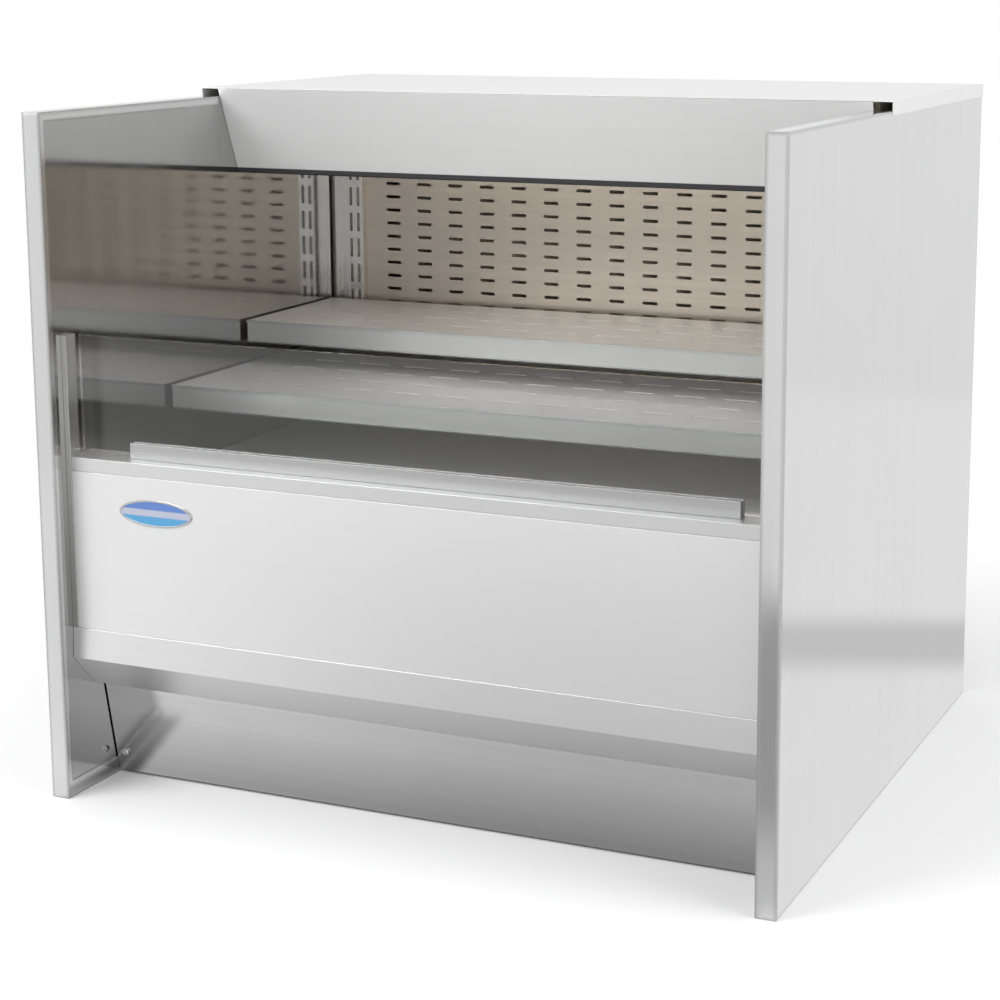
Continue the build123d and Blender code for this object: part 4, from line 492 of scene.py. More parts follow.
# %% [markdown]
# ## Stainless steel
#
# Every outside panel is stainless sheet brushed by a belt, and the belt leaves all its scratches in
# one direction. They could be painted as an image, but an image needs unwrapping and repeats.
# The trick is stretched noise: the same noise, squeezed across the grain and drawn out along it.
# Object coordinates are used, so the grain has a true size in millimetres and stays with the piece
# as it moves. Front pieces were brushed from left to right, and the tall end panels upright.

# %% The recipe for brushed steel
ACROSS = {"X": (3.0, 1400.0, 1400.0), "Z": (1400.0, 1400.0, 3.0)}


def place_group(tree, group, inputs):
    """Puts a node group in a material and fills its inputs."""
    return add_node(tree, "Group", inputs, node_tree=group).outputs


def shade_of(colour, share):
    """The same colour, lighter or darker."""
    return tuple(share * part for part in colour)


def dress(tree, shader, surface, height, strength, depth, constants=None):
    """Feeds a surface's colour and roughness and the bump of a height into the Principled shader."""
    bump = {"Height": height, "Strength": strength, "Distance": depth}
    if "Normal" in surface:
        bump["Normal"] = surface["Normal"]
    relief = add_node(tree, "Bump", bump).outputs["Normal"]
    feed(tree, shader, {"Base Color": surface["Colour"], "Roughness": surface["Roughness"],
                        "Normal": relief, **(constants or {})})


def brushed_steel(name, bright, dull, roughness, along, spread=0.04, bump=0.02, marks=0.12, edge=0.0012,
                  edge_tone=0.9, edge_wear_and_shade=0.5, metallic=1.0):
    """Brushed sheet metal with its grain along one axis, faint hand marks and rounded edges in their own
    tone: paler for rubbed wear, darker for painted shade on folds.
    """
    material, tree, shader, where = fresh_material(name)
    stretched = add_node(tree, "Mapping", {"Vector": where, "Scale": ACROSS[along]}).outputs["Vector"]
    grain = place_group(tree, grain_group, {"Vector": stretched, "Bright": bright, "Dull": dull,
                                            "Roughness": roughness, "Spread": spread})
    hands = place_group(tree, marks_group, {"Vector": where, "Colour": grain["Colour"],
                                            "Tint": shade_of(dull, 0.86),
                                            "Roughness": grain["Roughness"], "Amount": marks})
    edges = place_group(tree, edge_group, {"Radius": edge, "Colour": hands["Colour"],
                                           "Edge": grey(edge_tone), "Amount": edge_wear_and_shade})
    surface = {"Colour": edges["Colour"], "Roughness": hands["Roughness"], "Normal": edges["Normal"]}
    dress(tree, shader, surface, grain["Height"], bump, 0.0004, {"Metallic": metallic})
    return material


def wear_on(material, *nodes):
    """Gives CAD nodes a material in place of their plain one."""
    for name in nodes:
        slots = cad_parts[name].data.materials
        slots.clear()
        slots.append(material)
    print(material.name, "on", ", ".join(nodes))


print("grain scales:", ACROSS)

# %% Outside and front panels
# The end panels' edges are painted dark (edge tone 0.40): painted shade and reflection along the folds,
# not wear.
wear_on(brushed_steel("end_panel_steel", (0.80, 0.80, 0.802), (0.78, 0.78, 0.782), 0.12, "Z", edge=0.005,
                      edge_tone=0.40, edge_wear_and_shade=0.8), "end_panel_left", "end_panel_right")
wear_on(brushed_steel("front_panel_steel", grey(0.85), grey(0.83), 0.34, "X", metallic=0.7),
        "front_panel")
wear_on(brushed_steel("sill_steel", grey(0.77), grey(0.75), 0.30, "X", edge_wear_and_shade=0.0, metallic=0.85),
        "sill_cap")
wear_on(brushed_steel("stile_steel", (0.74, 0.74, 0.73), (0.71, 0.71, 0.70), 0.24, "Z", edge_wear_and_shade=0.0),
        "side_stiles")
wear_on(brushed_steel("bumper_steel", grey(0.88), grey(0.86), 0.30, "X", metallic=0.9), "bumper_rail")
wear_on(brushed_steel("fascia_steel", (0.86, 0.86, 0.862), (0.84, 0.84, 0.842), 0.42, "X", metallic=0.2),
        "canopy_fascia")
wear_on(brushed_steel("lid_steel", grey(0.85), grey(0.83), 0.34, "X", metallic=0.5), "canopy_lid")
# The kick panel takes a darker tone than the other steel: painted shade of the toe space under the
# bumper.
wear_on(brushed_steel("kick_panel_steel_painted_shade", grey(0.66), grey(0.63), 0.13, "X"), "kick_panel")

# %% [markdown]
# ## Inner liners and the cold interior
#
# The inner faces of the end panels are polished far more than the outside, so they act as dull
# mirrors and show the fascia and the shelves twice. A low roughness and a darker tone do that.
# The slotted back wall and the ceiling are satin sheet. The warm case lamp's tint on them is painted
# into their colour, as painted lamp light.

# %% Liners and interior sheet
wear_on(brushed_steel("polished_liner_steel", grey(0.53), grey(0.50), 0.08, "Z", spread=0.02, bump=0.01),
        "end_liner_left", "end_liner_right")
# Warm brown tone: painted light of the warm case lamp on plain satin steel.
wear_on(brushed_steel("back_wall_steel_painted_lamp_tint", (0.54, 0.49, 0.425), (0.49, 0.445, 0.385), 0.34, "X",
                      edge=0.0006, metallic=0.7), "back_wall_panel", "ceiling_panel", "body_liner")
wear_on(brushed_steel("shelf_standard_steel", (0.68, 0.66, 0.63), (0.60, 0.58, 0.55), 0.26, "Z",
                      edge=0.0006), "shelf_standards")
wear_on(brushed_steel("deck_steel", (0.72, 0.71, 0.69), (0.68, 0.67, 0.65), 0.34, "X", edge=0.0008,
                      metallic=0.3), "deck_pan", "return_air_grille", "fan_plenum")

# %% [markdown]
# ## Galvanised sheet
#
# Sheet that no customer sees is galvanised. Its zinc freezes in flat crystals, the spangle.
# Each crystal has its own grey and its own shine. Noise would blur them into clouds, while Voronoi
# cells have just such straight borders and one random colour each.

# %% The recipe for galvanised sheet
def galvanised_sheet(name, light, dark, cell, roughness=0.38):
    """Zinc-coated sheet: crystal patches with their own tone and shine."""
    material, tree, shader, where = fresh_material(name)
    crystals = add_node(tree, "TexVoronoi", {"Vector": where, "Scale": 1 / cell}).outputs["Color"]
    lots = add_node(tree, "SeparateColor", {"Color": crystals}).outputs
    shine = plus(tree, times(tree, lots["Green"], 0.14), roughness)
    hands = place_group(tree, marks_group, {"Vector": where, "Roughness": shine, "Amount": 0.25,
                                            "Colour": blend_colour(tree, lots["Red"], dark, light),
                                            "Tint": shade_of(dark, 0.7)})
    edges = place_group(tree, edge_group, {"Radius": 0.0008, "Colour": hands["Colour"], "Edge": light,
                                           "Amount": 0.6})
    surface = {"Colour": edges["Colour"], "Roughness": hands["Roughness"], "Normal": edges["Normal"]}
    dress(tree, shader, surface, lots["Blue"], 0.12, 0.0004, {"Metallic": 1.0})
    return material


wear_on(galvanised_sheet("galvanised_sheet", (0.70, 0.71, 0.72), (0.63, 0.64, 0.65), 0.007),
        "body_outer_shell", "condensing_unit_tray", "condenser_shroud", "rear_grille_panel",
        "rear_panel_screws", "control_box")
foot_zinc = galvanised_sheet("zinc_plated_foot", (0.66, 0.66, 0.64), (0.56, 0.55, 0.53), 0.003, 0.3)
wear_on(foot_zinc, "foot_front_left", "foot_front_right", "foot_rear_left", "foot_rear_right",
        "kick_screws")

# %% [markdown]
# ## Coatings, plastic, rubber and foam
#
# Powder coat, enamel, moulded plastic, rubber and foam are not metal to the light: they have a
# colour and a thin gloss. They differ in how pebbled the skin is, how much the shine wanders and
# how pale the rubbed edges are. One recipe with those as numbers covers all of them.

# %% The recipe for coated and moulded pieces
def coated(name, light, dark, roughness, pebbles=900.0, bump=0.12, spread=0.15, edge_wear_and_shade=0.4, metallic=0.0,
           coat=0.0):
    """A coated or moulded surface with a fine skin, slow colour drift and rubbed edges."""
    material, tree, shader, where = fresh_material(name)
    skin = place_group(tree, skin_group, {"Vector": where, "Scale": pebbles, "Light": light,
                                          "Dark": dark, "Roughness": roughness, "Spread": spread})
    rubbed = tuple(min(1.0, 1.25 * part + 0.02) for part in light)
    edges = place_group(tree, edge_group, {"Radius": 0.0008, "Colour": skin["Colour"], "Edge": rubbed,
                                           "Amount": edge_wear_and_shade})
    surface = {"Colour": edges["Colour"], "Roughness": skin["Roughness"], "Normal": edges["Normal"]}
    dress(tree, shader, surface, skin["Height"], bump, 0.0005,
          {"Metallic": metallic, "Coat Weight": coat})
    return material


print("coating recipe ready")

# %% Shelves, frame and machinery
wear_on(coated("shelf_powder_coat", (0.66, 0.65, 0.64), (0.56, 0.555, 0.55), 0.36, pebbles=1500,
               metallic=0.6),
        "shelf_lower", "shelf_upper", "shelf_lower_brackets", "shelf_upper_brackets")
wear_on(coated("base_frame_paint", (0.055, 0.055, 0.06), (0.035, 0.035, 0.04), 0.42, pebbles=700),
        "base_frame")
enamel = coated("compressor_enamel", (0.03, 0.03, 0.033), (0.018, 0.018, 0.02), 0.16, pebbles=260,
                bump=0.05, coat=0.6)
wear_on(enamel, "compressor")
wear_on(coated("motor_casting", (0.07, 0.07, 0.075), (0.04, 0.04, 0.043), 0.5, pebbles=600, bump=0.3,
               metallic=0.3), "evaporator_fan_motors", "condenser_fan_motor")

# %% Rubber, plastic and foam
strip_rubber = coated("fascia_strip_rubber", (0.03, 0.03, 0.032), (0.018, 0.018, 0.02), 0.55,
                      pebbles=1800)
wear_on(strip_rubber, "fascia_edge_strip")
wear_on(coated("white_moulding", (0.86, 0.86, 0.84), (0.80, 0.80, 0.78), 0.42, pebbles=1200, bump=0.06),
        "air_curtain_honeycomb", "lamp_housing")
wear_on(coated("grey_moulding", (0.55, 0.56, 0.57), (0.46, 0.47, 0.48), 0.48, pebbles=800),
        "drain_tube", "condensate_pan")
fan_plastic = coated("fan_moulding", (0.05, 0.05, 0.055), (0.03, 0.03, 0.034), 0.44)
wear_on(fan_plastic, "evaporator_fan_left", "evaporator_fan_right", "condenser_fan")
switch_plastic = coated("switch_moulding", (0.04, 0.04, 0.042), (0.026, 0.026, 0.028), 0.38,
                        pebbles=1600)
wear_on(switch_plastic, "power_switch", "lamp_switch", "thermostat_knob", "power_inlet_gland")
wear_on(coated("foam_cut_face", (0.86, 0.79, 0.58), (0.74, 0.66, 0.45), 0.9, pebbles=420, bump=0.7,
               edge_wear_and_shade=0.0), "body_foam", "end_panel_cores")

# %% [markdown]
# ## Aluminium and copper
#
# The glass channel is an anodised extrusion: satin, with the fine lines of its die along its length,
# so the brushed recipe fits it too. The coil fins are bare foil. The refrigerant lines are soft
# copper that has gone dull and brown in patches, so they take the coated recipe made metallic.

# %% Extrusion, fins and tube
wear_on(brushed_steel("channel_anodised", (0.54, 0.54, 0.545), (0.51, 0.51, 0.515), 0.44, "X", marks=0.1,
                      edge=0.0007), "glass_channel")
wear_on(brushed_steel("coil_fin_foil", grey(0.82), grey(0.68), 0.3, "Z", marks=0.5, edge=0.0003),
        "evaporator_coil", "condenser_coil")
wear_on(coated("dull_copper", (0.72, 0.38, 0.24), (0.42, 0.21, 0.13), 0.34, pebbles=300, metallic=1.0,
               spread=0.3, edge_wear_and_shade=0.0), "refrigerant_lines")

# %% [markdown]
# ## Clear and lit pieces
#
# The riser glass is a real 6 mm sheet, so its faces bend the light as glass does and its polished
# edges look green. Lamps can't shine through a plain glass shader without noise, so their rays meet
# a see-through shader instead: Light Path picks it for shadow rays only.
# The mouldings along the shelves' front edges are clear plastic with fine drawing lines.
# The lamp's diffuser glows, softly, a warm white.

# %% Glass and clear plastic
def see_through(name, colour, tinted, roughness, edge_colour):
    """A clear material with a tinted edge, faint lines along X and light let through behind it."""
    material, tree, shader, where = fresh_material(name)
    normal = add_node(tree, "NewGeometry").outputs["Normal"]
    flatness = maths(tree, "ABSOLUTE", add_node(tree, "SeparateXYZ", {"Vector": normal}).outputs["Y"])
    smear = noise(tree, where, 6.0, 4.0, 0.6)
    face_colour = blend_colour(tree, smear, tinted, colour)
    stretched = add_node(tree, "Mapping", {"Vector": where, "Scale": ACROSS["X"]}).outputs["Vector"]
    surface = {"Colour": blend_colour(tree, flatness, edge_colour, face_colour),
               "Roughness": plus(tree, times(tree, smear, 0.04), roughness)}
    dress(tree, shader, surface, noise(tree, stretched, 0.3), 0.01, 0.0002,
          {"IOR": 1.47, "Transmission Weight": 1.0})
    clear = add_node(tree, "BsdfTransparent", {"Color": (0.93, 0.95, 0.945)}).outputs["BSDF"]
    shadow = add_node(tree, "LightPath").outputs["Is Shadow Ray"]
    both_ways = mix_shaders(tree, shadow, shader.outputs["BSDF"], clear)
    feed(tree, tree.nodes["Material Output"], {"Surface": both_ways})
    return material


wear_on(see_through("riser_glass_clear", grey(1.0), (0.985, 0.992, 0.99), 0.0, (0.55, 0.78, 0.70)),
        "riser_glass")
wear_on(see_through("tag_moulding_clear", (0.93, 0.935, 0.935), (0.88, 0.89, 0.89), 0.12,
                    (0.90, 0.91, 0.91)), "shelf_lower_tag_strip", "shelf_upper_tag_strip")

# %% The lamp diffuser
lens_glow, tree, shader, where = fresh_material("lamp_diffuser_glow")
skin = place_group(tree, skin_group, {"Vector": where, "Scale": 700.0, "Light": (0.96, 0.95, 0.92),
                                      "Dark": (0.90, 0.89, 0.86), "Roughness": 0.5, "Spread": 0.1})
diodes = add_node(tree, "TexWave", {"Vector": where, "Scale": 16.0, "Distortion": 0.0}).outputs["Fac"]
warm = blend_colour(tree, diodes, (1.0, 0.90, 0.76), (1.0, 0.95, 0.86))
feed(tree, shader, {"Base Color": skin["Colour"], "Roughness": skin["Roughness"],
                    "Emission Color": warm, "Emission Strength": 9.0})
wear_on(lens_glow, "lamp_lens")

# %% [markdown]
# ## The badge plate
#
# On the front panel sits a small, blank oval plate with a bright raised rim.
# It could be cut from a curve, but a squeezed cylinder gives the oval in one step.
# An inset marks the rim, an inward inset sinks the field, and a bevel rounds the rim's edges.
# The field is enamelled: a plain pale band across the middle, with blue above it and a lighter blue
# below. The band comes from the height in object coordinates, so it needs no image.

# %% Helpers that finish and copy a piece
def finish_piece(piece, name, body, slot, *replaced):
    """Smooths a modelled piece, names it, puts it on its body and in place of its CAD node."""
    make_active(piece)
    bpy.ops.object.shade_smooth_by_angle(angle=math.radians(32))
    piece.name = name
    piece.data.name = name
    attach(piece, body)
    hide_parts(*replaced)
    print(name, len(piece.data.polygons), "faces")


def copy_to(piece, name, place, turned, body, slot, *replaced):
    """Moves a copy with its own mesh to its place, turned to face the back if asked."""
    twin = piece.copy()
    twin.data = piece.data.copy()
    bpy.context.scene.collection.objects.link(twin)
    twin.location = place
    twin.rotation_euler = (0, 0, math.pi if turned else 0)
    make_active(twin)
    apply_placement()
    finish_piece(twin, name, body, slot, *replaced)


print("piece helpers ready")

# %% Paint the badge's field
low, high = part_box("badge_plate")
badge_field, tree, shader, where = fresh_material("badge_blue_field")
level = add_node(tree, "SeparateXYZ", {"Vector": where}).outputs["Z"]
height_up = maths(tree, "DIVIDE", minus(tree, level, low.z), high.z - low.z)
two_blues = blend_colour(tree, rise(tree, height_up, 0.3, 0.7), (0.07, 0.31, 0.56), (0.09, 0.19, 0.50))
band = times(tree, rise(tree, height_up, 0.36, 0.42), rise(tree, height_up, 0.66, 0.60))
badge_skin = place_group(tree, skin_group, {
    "Vector": where, "Scale": 2400.0, "Roughness": 0.24, "Spread": 0.08,
    "Light": blend_colour(tree, band, two_blues, (0.44, 0.47, 0.57)),
    "Dark": blend_colour(tree, band, two_blues, (0.39, 0.42, 0.52)),
})
feed(tree, shader, {"Base Color": badge_skin["Colour"], "Roughness": badge_skin["Roughness"],
                    "Coat Weight": 0.6})
print(badge_field.name, len(tree.nodes), "nodes")

# %% Model the badge plate
start_clean()
bpy.ops.mesh.primitive_cylinder_add(vertices=96, radius=1, depth=1, location=(low + high) / 2,
                                    rotation=(math.pi / 2, 0, 0))
badge = bpy.context.object
badge.scale = ((high.x - low.x) / 2, (high.z - low.z) / 2, high.y - low.y)
apply_placement()
badge_rim = brushed_steel("badge_bright_rim", (0.62, 0.62, 0.63), (0.58, 0.58, 0.59), 0.10, "X",
                          marks=0.1, edge=0.0004)
badge.data.materials.append(badge_rim)
badge.data.materials.append(badge_field)
edit_mode()
pick("FACE", looks("Y", -1))
inset(0.0024)
badge.active_material_index = 1
bpy.ops.object.material_slot_assign()
inset(0.0004, -0.0006)
pick("EDGE", at_level("Y", low.y))
round_edges(0.0003, 2)
object_mode()
finish_piece(badge, "badge_plate_oval", "front_panel_body", "badge_blue", "badge_plate")

# %% [markdown]
# ## Screws
#
# Two pan-head screws hold the kick panel and six hold the rear panel.
# One screw is modelled with care and copied: a short cylinder whose rim is bevelled into a dome,
# a shank drawn out of its back, and a cross recess. The recess could be drawn face by face, but a
# Boolean with a small cross is how a tool strikes it, and it keeps the dome round.
# Each copy gets its own mesh, because every piece must hold its own place.

# %% Model one screw
HEAD_RADIUS, HEAD_HEIGHT, SHANK_RADIUS, HEAD_ROUNDING = 0.0045, 0.0024, 0.0020, 0.0012
CROSS_WIDTH, CROSS_ARM, CROSS_STRETCH = 0.0009, 0.0014, 2.4


def recess_cross():
    """The cross that the recess is cut with, its middle on the screw's head."""
    start_clean()
    bpy.ops.mesh.primitive_cube_add(size=CROSS_WIDTH, location=(0, -HEAD_HEIGHT, 0))
    cross = bpy.context.object
    apply_placement()
    edit_mode()

    def end_of_arm(middle, normal):
        off_line = middle - way * middle.dot(way)
        return normal.dot(way) > 0.9 and off_line.xz.length < CROSS_WIDTH / 3

    for way in (Vector((1, 0, 0)), Vector((-1, 0, 0)), Vector((0, 0, 1)), Vector((0, 0, -1))):
        pick("FACE", end_of_arm)
        extrude(*(way * CROSS_ARM))
    bpy.ops.mesh.select_all(action="SELECT")
    bpy.ops.transform.resize(value=(1, CROSS_STRETCH, 1), center_override=(0, -HEAD_HEIGHT, 0))
    object_mode()
    return cross


def pan_head_screw(shank):
    """A screw whose head looks to -Y, with the underside of its head at the origin."""
    start_clean()
    bpy.ops.mesh.primitive_cylinder_add(vertices=32, radius=HEAD_RADIUS, depth=HEAD_HEIGHT,
                                        location=(0, -HEAD_HEIGHT / 2, 0), rotation=(math.pi / 2, 0, 0))
    screw = bpy.context.object
    apply_placement()
    edit_mode()
    pick("EDGE", at_level("Y", -HEAD_HEIGHT))
    round_edges(HEAD_ROUNDING, 4)
    pick("FACE", looks("Y"))
    inset(HEAD_RADIUS - SHANK_RADIUS)
    extrude(0, shank, 0)
    cross = recess_cross()
    make_active(screw)
    cut = screw.modifiers.new("cross_recess", "BOOLEAN")
    cut.object = cross
    cut.operation = "DIFFERENCE"
    bpy.ops.object.modifier_apply(modifier=cut.name)
    bpy.data.objects.remove(cross)
    screw.data.materials.append(screw_steel)
    print("screw", round(1000 * (shank + HEAD_HEIGHT), 1), "mm long,", len(screw.data.polygons), "faces")
    return screw


screw_steel = brushed_steel("screw_steel", grey(0.80), grey(0.66), 0.2, "X", marks=0.3, edge=0.0003)

# %% Put the screws in
low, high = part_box("kick_screws")
kick_screw = pan_head_screw(high.y - low.y - HEAD_HEIGHT)
seat = low.y + HEAD_HEIGHT
level = (low.z + high.z) / 2
for side, x in (("left", low.x + HEAD_RADIUS), ("right", high.x - HEAD_RADIUS)):
    copy_to(kick_screw, "kick_screw_" + side, (x, seat, level), False, "kick_panel_body", "foot_steel",
            "kick_screws")
bpy.data.objects.remove(kick_screw)

low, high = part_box("rear_panel_screws")
rear_screw = pan_head_screw(high.y - low.y - HEAD_HEIGHT)
seat = high.y - HEAD_HEIGHT
for column, x in (("left", low.x + HEAD_RADIUS), ("middle", 0.0), ("right", high.x - HEAD_RADIUS)):
    for row, z in (("low", low.z + HEAD_RADIUS), ("high", high.z - HEAD_RADIUS)):
        copy_to(rear_screw, f"rear_screw_{column}_{row}", (x, seat, z), True, "rear_panel_body",
                "galvanised", "rear_panel_screws")
bpy.data.objects.remove(rear_screw)

# %% [markdown]
# ## The thermostat dial
#
# The rear control box carries a moulded dial. Its grip is a ring of shallow flutes and its top is a
# dished cap. Bump would fake the flutes from afar, but the dial's outline would stay round, so they
# are real: pairs of side faces of a cylinder, each pair inset as one patch and pushed inwards.
# A raised rib on the cap is the pointer. It is a bevelled block of its own that rides on the dial's
# body, so both turn together.

# %% Helpers for turned and blocky pieces
def round_bar(vertices, radius, foot, top, centre, along):
    """A cylinder from foot to top along Y or Z, centred on a point across it, left in object mode."""
    start_clean()
    place = Vector(centre)
    place["XYZ".index(along)] = (foot + top) / 2
    bpy.ops.mesh.primitive_cylinder_add(vertices=vertices, radius=radius, depth=top - foot,
                                        location=place,
                                        rotation=(math.pi / 2, 0, 0) if along == "Y" else (0, 0, 0))
    apply_placement()
    return bpy.context.object


def round_rim(piece, axis, level, width, segments):
    """Bevels the rim of a piece at a level of its axis. Stays in edit mode."""
    make_active(piece)
    edit_mode()
    pick("EDGE", at_level(axis, level))
    round_edges(width, segments)


def flute(centre, count, width, depth):
    """In edit mode, sinks every second pair of side faces of a cylinder along Y, for a grip."""
    turn = math.tau / count

    def in_flute(middle, normal):
        angle = math.atan2(middle.z - centre.z, middle.x - centre.x)
        return abs(normal.y) < 0.1 and round(angle / turn - 0.5) % 4 < 2

    pick("FACE", in_flute)
    inset(width, -depth)


def block(low, high):
    """A box between two corners, left in object mode."""
    start_clean()
    bpy.ops.mesh.primitive_cube_add(size=1, location=(Vector(low) + Vector(high)) / 2)
    piece = bpy.context.object
    piece.scale = Vector(high) - Vector(low)
    apply_placement()
    return piece


def bevelled_block(low, high, width, segments):
    """A box with every edge bevelled, left in object mode."""
    piece = block(low, high)
    edit_mode()
    bpy.ops.mesh.select_all(action="SELECT")
    round_edges(width, segments)
    object_mode()
    return piece


def join_into(main, *others):
    """Joins pieces into one mesh."""
    make_active(main, *others)
    bpy.ops.object.join()
    return main


print("bar and block helpers ready")

# %% Model the dial
low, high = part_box("thermostat_knob")
centre = (low + high) / 2
radius = (high.x - low.x) / 2
SHAFT_BORE, BORE_DEPTH, POINTER_RISE = 0.0032, 0.011, 0.002
cap = high.y - POINTER_RISE
dial = round_bar(64, radius, low.y, cap, centre, "Y")
round_rim(dial, "Y", cap, 0.0012, 3)
flute(centre, 64, 0.0004, 0.0007)
pick("FACE", looks("Y"))
inset(0.0022)
inset(0.0005, -0.0005)
pick("FACE", looks("Y", -1))
inset(radius - SHAFT_BORE)
extrude(0, BORE_DEPTH, 0)
object_mode()
dial.data.materials.append(switch_plastic)
pointer = bevelled_block((centre.x - 0.0015, cap - 0.0012, centre.z + 0.0005),
                         (centre.x + 0.0015, high.y, centre.z + 0.0118), 0.0005, 2)
pointer.data.materials.append(coated("dial_pointer_white", (0.80, 0.80, 0.78), (0.72, 0.72, 0.70), 0.4,
                                     edge_wear_and_shade=0.0))
finish_piece(dial, "thermostat_dial", "thermostat_body", "switch_plastic", "thermostat_knob")
finish_piece(pointer, "thermostat_pointer", "thermostat_body", "switch_plastic", "thermostat_knob")

# %% [markdown]
# ## The cord gland
#
# The gland is a hexagon nut with a fluted, domed clamp screwed into it and a round mouth.
# A hexagon is just a cylinder of six sides. On the real part it is a piece apart from the clamp,
# so it is modelled and kept as one here too.

# %% Model the gland
low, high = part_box("power_inlet_gland")
centre = (low + high) / 2
CLAMP_RADIUS, MOUTH_DEPTH = 0.0095, 0.010
nut_end = low.y + 0.007
nut = round_bar(6, (high.x - low.x) / 2, low.y, nut_end, centre, "Y")
edit_mode()
bpy.ops.mesh.select_all(action="SELECT")
bpy.ops.transform.rotate(value=math.radians(30), orient_axis="Y", center_override=centre)
round_rim(nut, "Y", nut_end, 0.0009, 2)
pick("FACE", looks("Y"))
inset(0.0012)
inset(0.0003, -0.0004)
object_mode()
nut.data.materials.append(switch_plastic)
clamp = round_bar(48, CLAMP_RADIUS, nut_end - 0.001, high.y, centre, "Y")
round_rim(clamp, "Y", high.y, 0.003, 5)
flute(centre, 48, 0.0003, 0.0006)
pick("FACE", at_level("Y", high.y))
inset(0.0020)
extrude(0, -MOUTH_DEPTH, 0)
object_mode()
clamp.data.materials.append(switch_plastic)
finish_piece(nut, "cord_gland_nut", "cabinet", "switch_plastic", "power_inlet_gland")
finish_piece(clamp, "cord_gland_clamp", "cabinet", "switch_plastic", "power_inlet_gland")

# %% [markdown]
# ## Levelling feet
#
# Each foot is a turned pad with a hexagon for the spanner and a threaded stud that screws into the
# frame. A true helix costs thousands of faces that nobody sees, so the thread is drawn upwards ring
# by ring: extrude, pinch, extrude, spread. At this size rings read as a thread.

# %% Model one foot and copy it
low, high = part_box("foot_front_left")
centre = (low + high) / 2
PAD_TOP, HEX_TOP, HEX_RADIUS = low.z + 0.009, low.z + 0.0145, 0.0098
STUD_RADIUS, THREAD_STEP, THREAD_PINCH = 0.005, 0.00075, 0.86
foot = round_bar(64, (high.x - low.x) / 2, low.z, PAD_TOP, centre, "Z")
round_rim(foot, "Z", PAD_TOP, 0.003, 4)
round_rim(foot, "Z", low.z, 0.0008, 2)
hexagon = round_bar(6, HEX_RADIUS, PAD_TOP - 0.0005, HEX_TOP, centre, "Z")
round_rim(hexagon, "Z", HEX_TOP, 0.0008, 2)
stud = round_bar(24, STUD_RADIUS, HEX_TOP - 0.001, HEX_TOP, centre, "Z")
edit_mode()
pick("FACE", looks("Z"))
for ring in range(int((high.z - HEX_TOP) / (2 * THREAD_STEP))):
    for grow in (THREAD_PINCH, 1 / THREAD_PINCH):
        extrude(0, 0, THREAD_STEP)
        bpy.ops.transform.resize(value=(grow, grow, 1), center_override=centre)
round_edges(0.0003, 1)
foot = join_into(foot, hexagon, stud)
foot.data.materials.clear()
foot.data.materials.append(foot_zinc)
for spot in ("front_left", "front_right", "rear_left", "rear_right"):
    near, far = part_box("foot_" + spot)
    copy_to(foot, f"levelling_foot_{spot}", (near + far) / 2 - centre, False, f"foot_{spot}_body",
            "foot_steel", f"foot_{spot}")
bpy.data.objects.remove(foot)

# %% [markdown]
# ## The compressor
#
# A sealed compressor is two pressed cups welded round the middle, so its can has a seam standing a
# little proud. It could be a lathe profile. Here it is one cylinder drawn up in steps, because each
# step can be seen: out for the seam, up, in again, up, and a wide bevel for the domed top.
# It stands on a pressed foot plate with rubber grommets, and a moulded cover hides its terminals.

# %% Model the can on its foot plate
low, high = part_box("compressor")
CAN_RADIUS, PLATE_SIZE, PLATE_FOOT, CAN_FOOT = 0.075, 0.170, low.z + 0.010, low.z + 0.013
SEAM_HEIGHT, SEAM_GROW = 0.058, 1.018
core = Vector((low.x + PLATE_SIZE / 2, (low.y + high.y) / 2, low.z))
can = round_bar(72, CAN_RADIUS, CAN_FOOT, CAN_FOOT + SEAM_HEIGHT, core, "Z")
edit_mode()
pick("FACE", looks("Z"))
for grow, climb in ((SEAM_GROW, 0.0006), (1, 0.0034), (1 / SEAM_GROW, 0.0006)):
    extrude(0, 0, climb)
    bpy.ops.transform.resize(value=(grow, grow, 1), center_override=core)
extrude(0, 0, high.z - CAN_FOOT - SEAM_HEIGHT - 0.0046)
pick("EDGE", at_level("Z", high.z))
round_edges(0.028, 10)
pick("FACE", at_level("Z", high.z))
inset(0.018)
inset(0.002, -0.0012)
object_mode()
plate = block((core.x - PLATE_SIZE / 2, core.y - PLATE_SIZE / 2, PLATE_FOOT),
              (core.x + PLATE_SIZE / 2, core.y + PLATE_SIZE / 2, CAN_FOOT))
edit_mode()
pick("EDGE", lambda m, n: abs(n.z) > 0.9)
round_edges(0.020, 6)
pick("EDGE", lambda m, n: abs(n.z) < 0.1)
round_edges(0.0006, 2)
object_mode()
can = join_into(can, plate)
can.data.materials.append(enamel)
finish_piece(can, "compressor_can", "cabinet", "black_paint", "compressor")

# %% Model its cover and grommets
cover = bevelled_block((core.x + CAN_RADIUS - 0.008, core.y - 0.025, CAN_FOOT + 0.010),
                       (high.x, core.y + 0.025, CAN_FOOT + 0.060), 0.004, 4)
edit_mode()
pick("FACE", looks("X"))
inset(0.003)
inset(0.0006, -0.0012)
object_mode()
cover.data.materials.append(switch_plastic)
finish_piece(cover, "compressor_terminal_cover", "cabinet", "switch_plastic", "compressor")
GROMMET_RADIUS, GROMMET_TOP, GROMMET_INSET = 0.011, CAN_FOOT + 0.004, 0.013
grommet = round_bar(32, GROMMET_RADIUS, low.z, GROMMET_TOP, core, "Z")
round_rim(grommet, "Z", GROMMET_TOP, 0.002, 3)
pick("FACE", looks("Z"))
inset(0.004)
extrude(0, 0, -0.002)
object_mode()
grommet.data.materials.append(strip_rubber)
reach = PLATE_SIZE / 2 - GROMMET_INSET
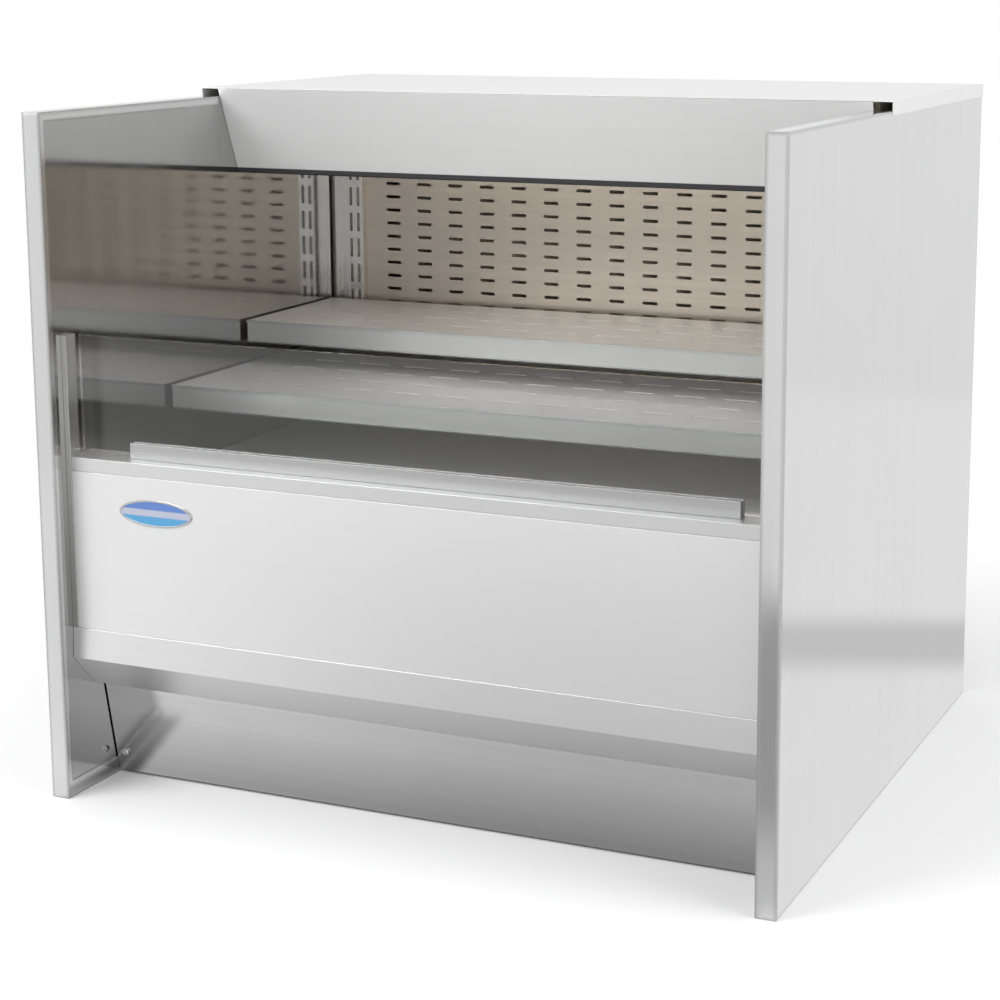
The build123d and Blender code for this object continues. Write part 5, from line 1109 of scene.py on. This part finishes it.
corners = [(-reach, -reach), (reach, -reach), (-reach, reach), (reach, reach)]
for number, (x, y) in enumerate(corners, start=1):
    copy_to(grommet, f"compressor_grommet_{number}", (x, y, 0), False, "cabinet", "black_rubber",
            "compressor")
bpy.data.objects.remove(grommet)

# %% [markdown]
# ## Fan rotors
#
# A moulded fan blade is hollow like a spoon and twists from the hub to the tip, where it moves
# fastest. Five flat boards would look like a toy, so one blade is shaped and the rest are copies.
# It starts as a grid. Its middle columns are pushed back for the hollow, and each row is turned and
# widened. Solidify gives it thickness, and the spin operator sets the others round the hub.

# %% Shape a blade
BLADES, GRID_CELLS, BLADE_THICKNESS, TIP_ROOM = 5, 8, 0.0016, 0.0016
ROOT_TWIST, TIP_UNTWIST, HOLLOW = math.radians(40), math.radians(14), 0.1


def ring_of_blades(axis, root, tip, chord):
    """The blades round an axis along Y, as one mesh, from root radius to tip radius."""
    start_clean()
    bpy.ops.mesh.primitive_grid_add(x_subdivisions=GRID_CELLS, y_subdivisions=GRID_CELLS, size=1,
                                    rotation=(math.pi / 2, 0, 0),
                                    location=(axis.x, axis.y, axis.z + (root + tip) / 2))
    blade = bpy.context.object
    blade.scale = (chord, tip - root, 1)
    apply_placement()
    edit_mode()
    for column in range(GRID_CELLS + 1):
        share = 2 * column / GRID_CELLS - 1
        place = axis.x + share * chord / 2
        pick("EDGE", lambda m, n: abs(n.z) > 0.9 and abs(m.x - place) < 1e-5)
        bpy.ops.transform.translate(value=(0, HOLLOW * chord * (1 - share * share), 0))
    for row in range(GRID_CELLS + 1):
        share = row / GRID_CELLS
        level = axis.z + root + share * (tip - root)
        width = 0.70 + 0.9 * share - 0.75 * share * share
        pick("EDGE", lambda m, n: abs(n.x) > 0.3 and abs(m.z - level) < 1e-5)
        bpy.ops.transform.resize(value=(width, 1, 1), center_override=axis)
        bpy.ops.transform.rotate(value=ROOT_TWIST - TIP_UNTWIST * share, orient_axis="Z",
                                 center_override=axis)
    object_mode()
    thick = blade.modifiers.new("blade_thickness", "SOLIDIFY")
    thick.thickness = BLADE_THICKNESS
    thick.offset = 0
    bpy.ops.object.modifier_apply(modifier=thick.name)
    edit_mode()
    bpy.ops.mesh.select_all(action="SELECT")
    bpy.ops.mesh.spin(steps=BLADES - 1, dupli=True, angle=math.tau * (BLADES - 1) / BLADES, center=axis,
                      axis=(0, 1, 0))
    bpy.ops.mesh.select_all(action="SELECT")
    bpy.ops.mesh.normals_make_consistent(inside=False)
    object_mode()
    return blade


print("blades per rotor:", BLADES)

# %% Model the rotors
HUB_ROUNDING, SHAFT_RADIUS, BORE_WALL = 0.0015, 0.0026, 0.0018


def fan_rotor(node, name, body, hub_radius, tip_radius, chord):
    """A rotor about an axis along Y in its CAD node's box, with a bore at the back for the shaft."""
    low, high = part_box(node)
    axis = Vector(((low.x + high.x) / 2, (low.y + high.y) / 2, high.z - tip_radius))
    blades = ring_of_blades(axis, hub_radius * 0.8, tip_radius - TIP_ROOM, chord)
    hub = round_bar(40, hub_radius, low.y, high.y, axis, "Y")
    edit_mode()
    pick("EDGE", lambda m, n: at_level("Y", low.y)(m, n) or at_level("Y", high.y)(m, n))
    round_edges(HUB_ROUNDING, 3)
    pick("FACE", looks("Y", -1))
    inset(0.002)
    inset(0.0006, -0.001)
    pick("FACE", looks("Y"))
    inset(hub_radius - HUB_ROUNDING - SHAFT_RADIUS)
    extrude(0, low.y - high.y + BORE_WALL, 0)
    object_mode()
    rotor = join_into(hub, blades)
    rotor.data.materials.append(fan_plastic)
    finish_piece(rotor, name, body, "fan_plastic", node)
    for number, letter in enumerate("XYZ"):
        places = [vertex.co[number] for vertex in rotor.data.vertices]
        room = (min(places) - low[number], high[number] - max(places))
        print("  room along", letter, [round(1000 * gap, 2) for gap in room], "mm")


for side in ("left", "right"):
    fan_rotor("evaporator_fan_" + side, f"evaporator_rotor_{side}", f"evaporator_fan_{side}_body",
              0.011, 0.044, 0.022)
fan_rotor("condenser_fan", "condenser_rotor", "condenser_fan_body", 0.016, 0.056, 0.03)
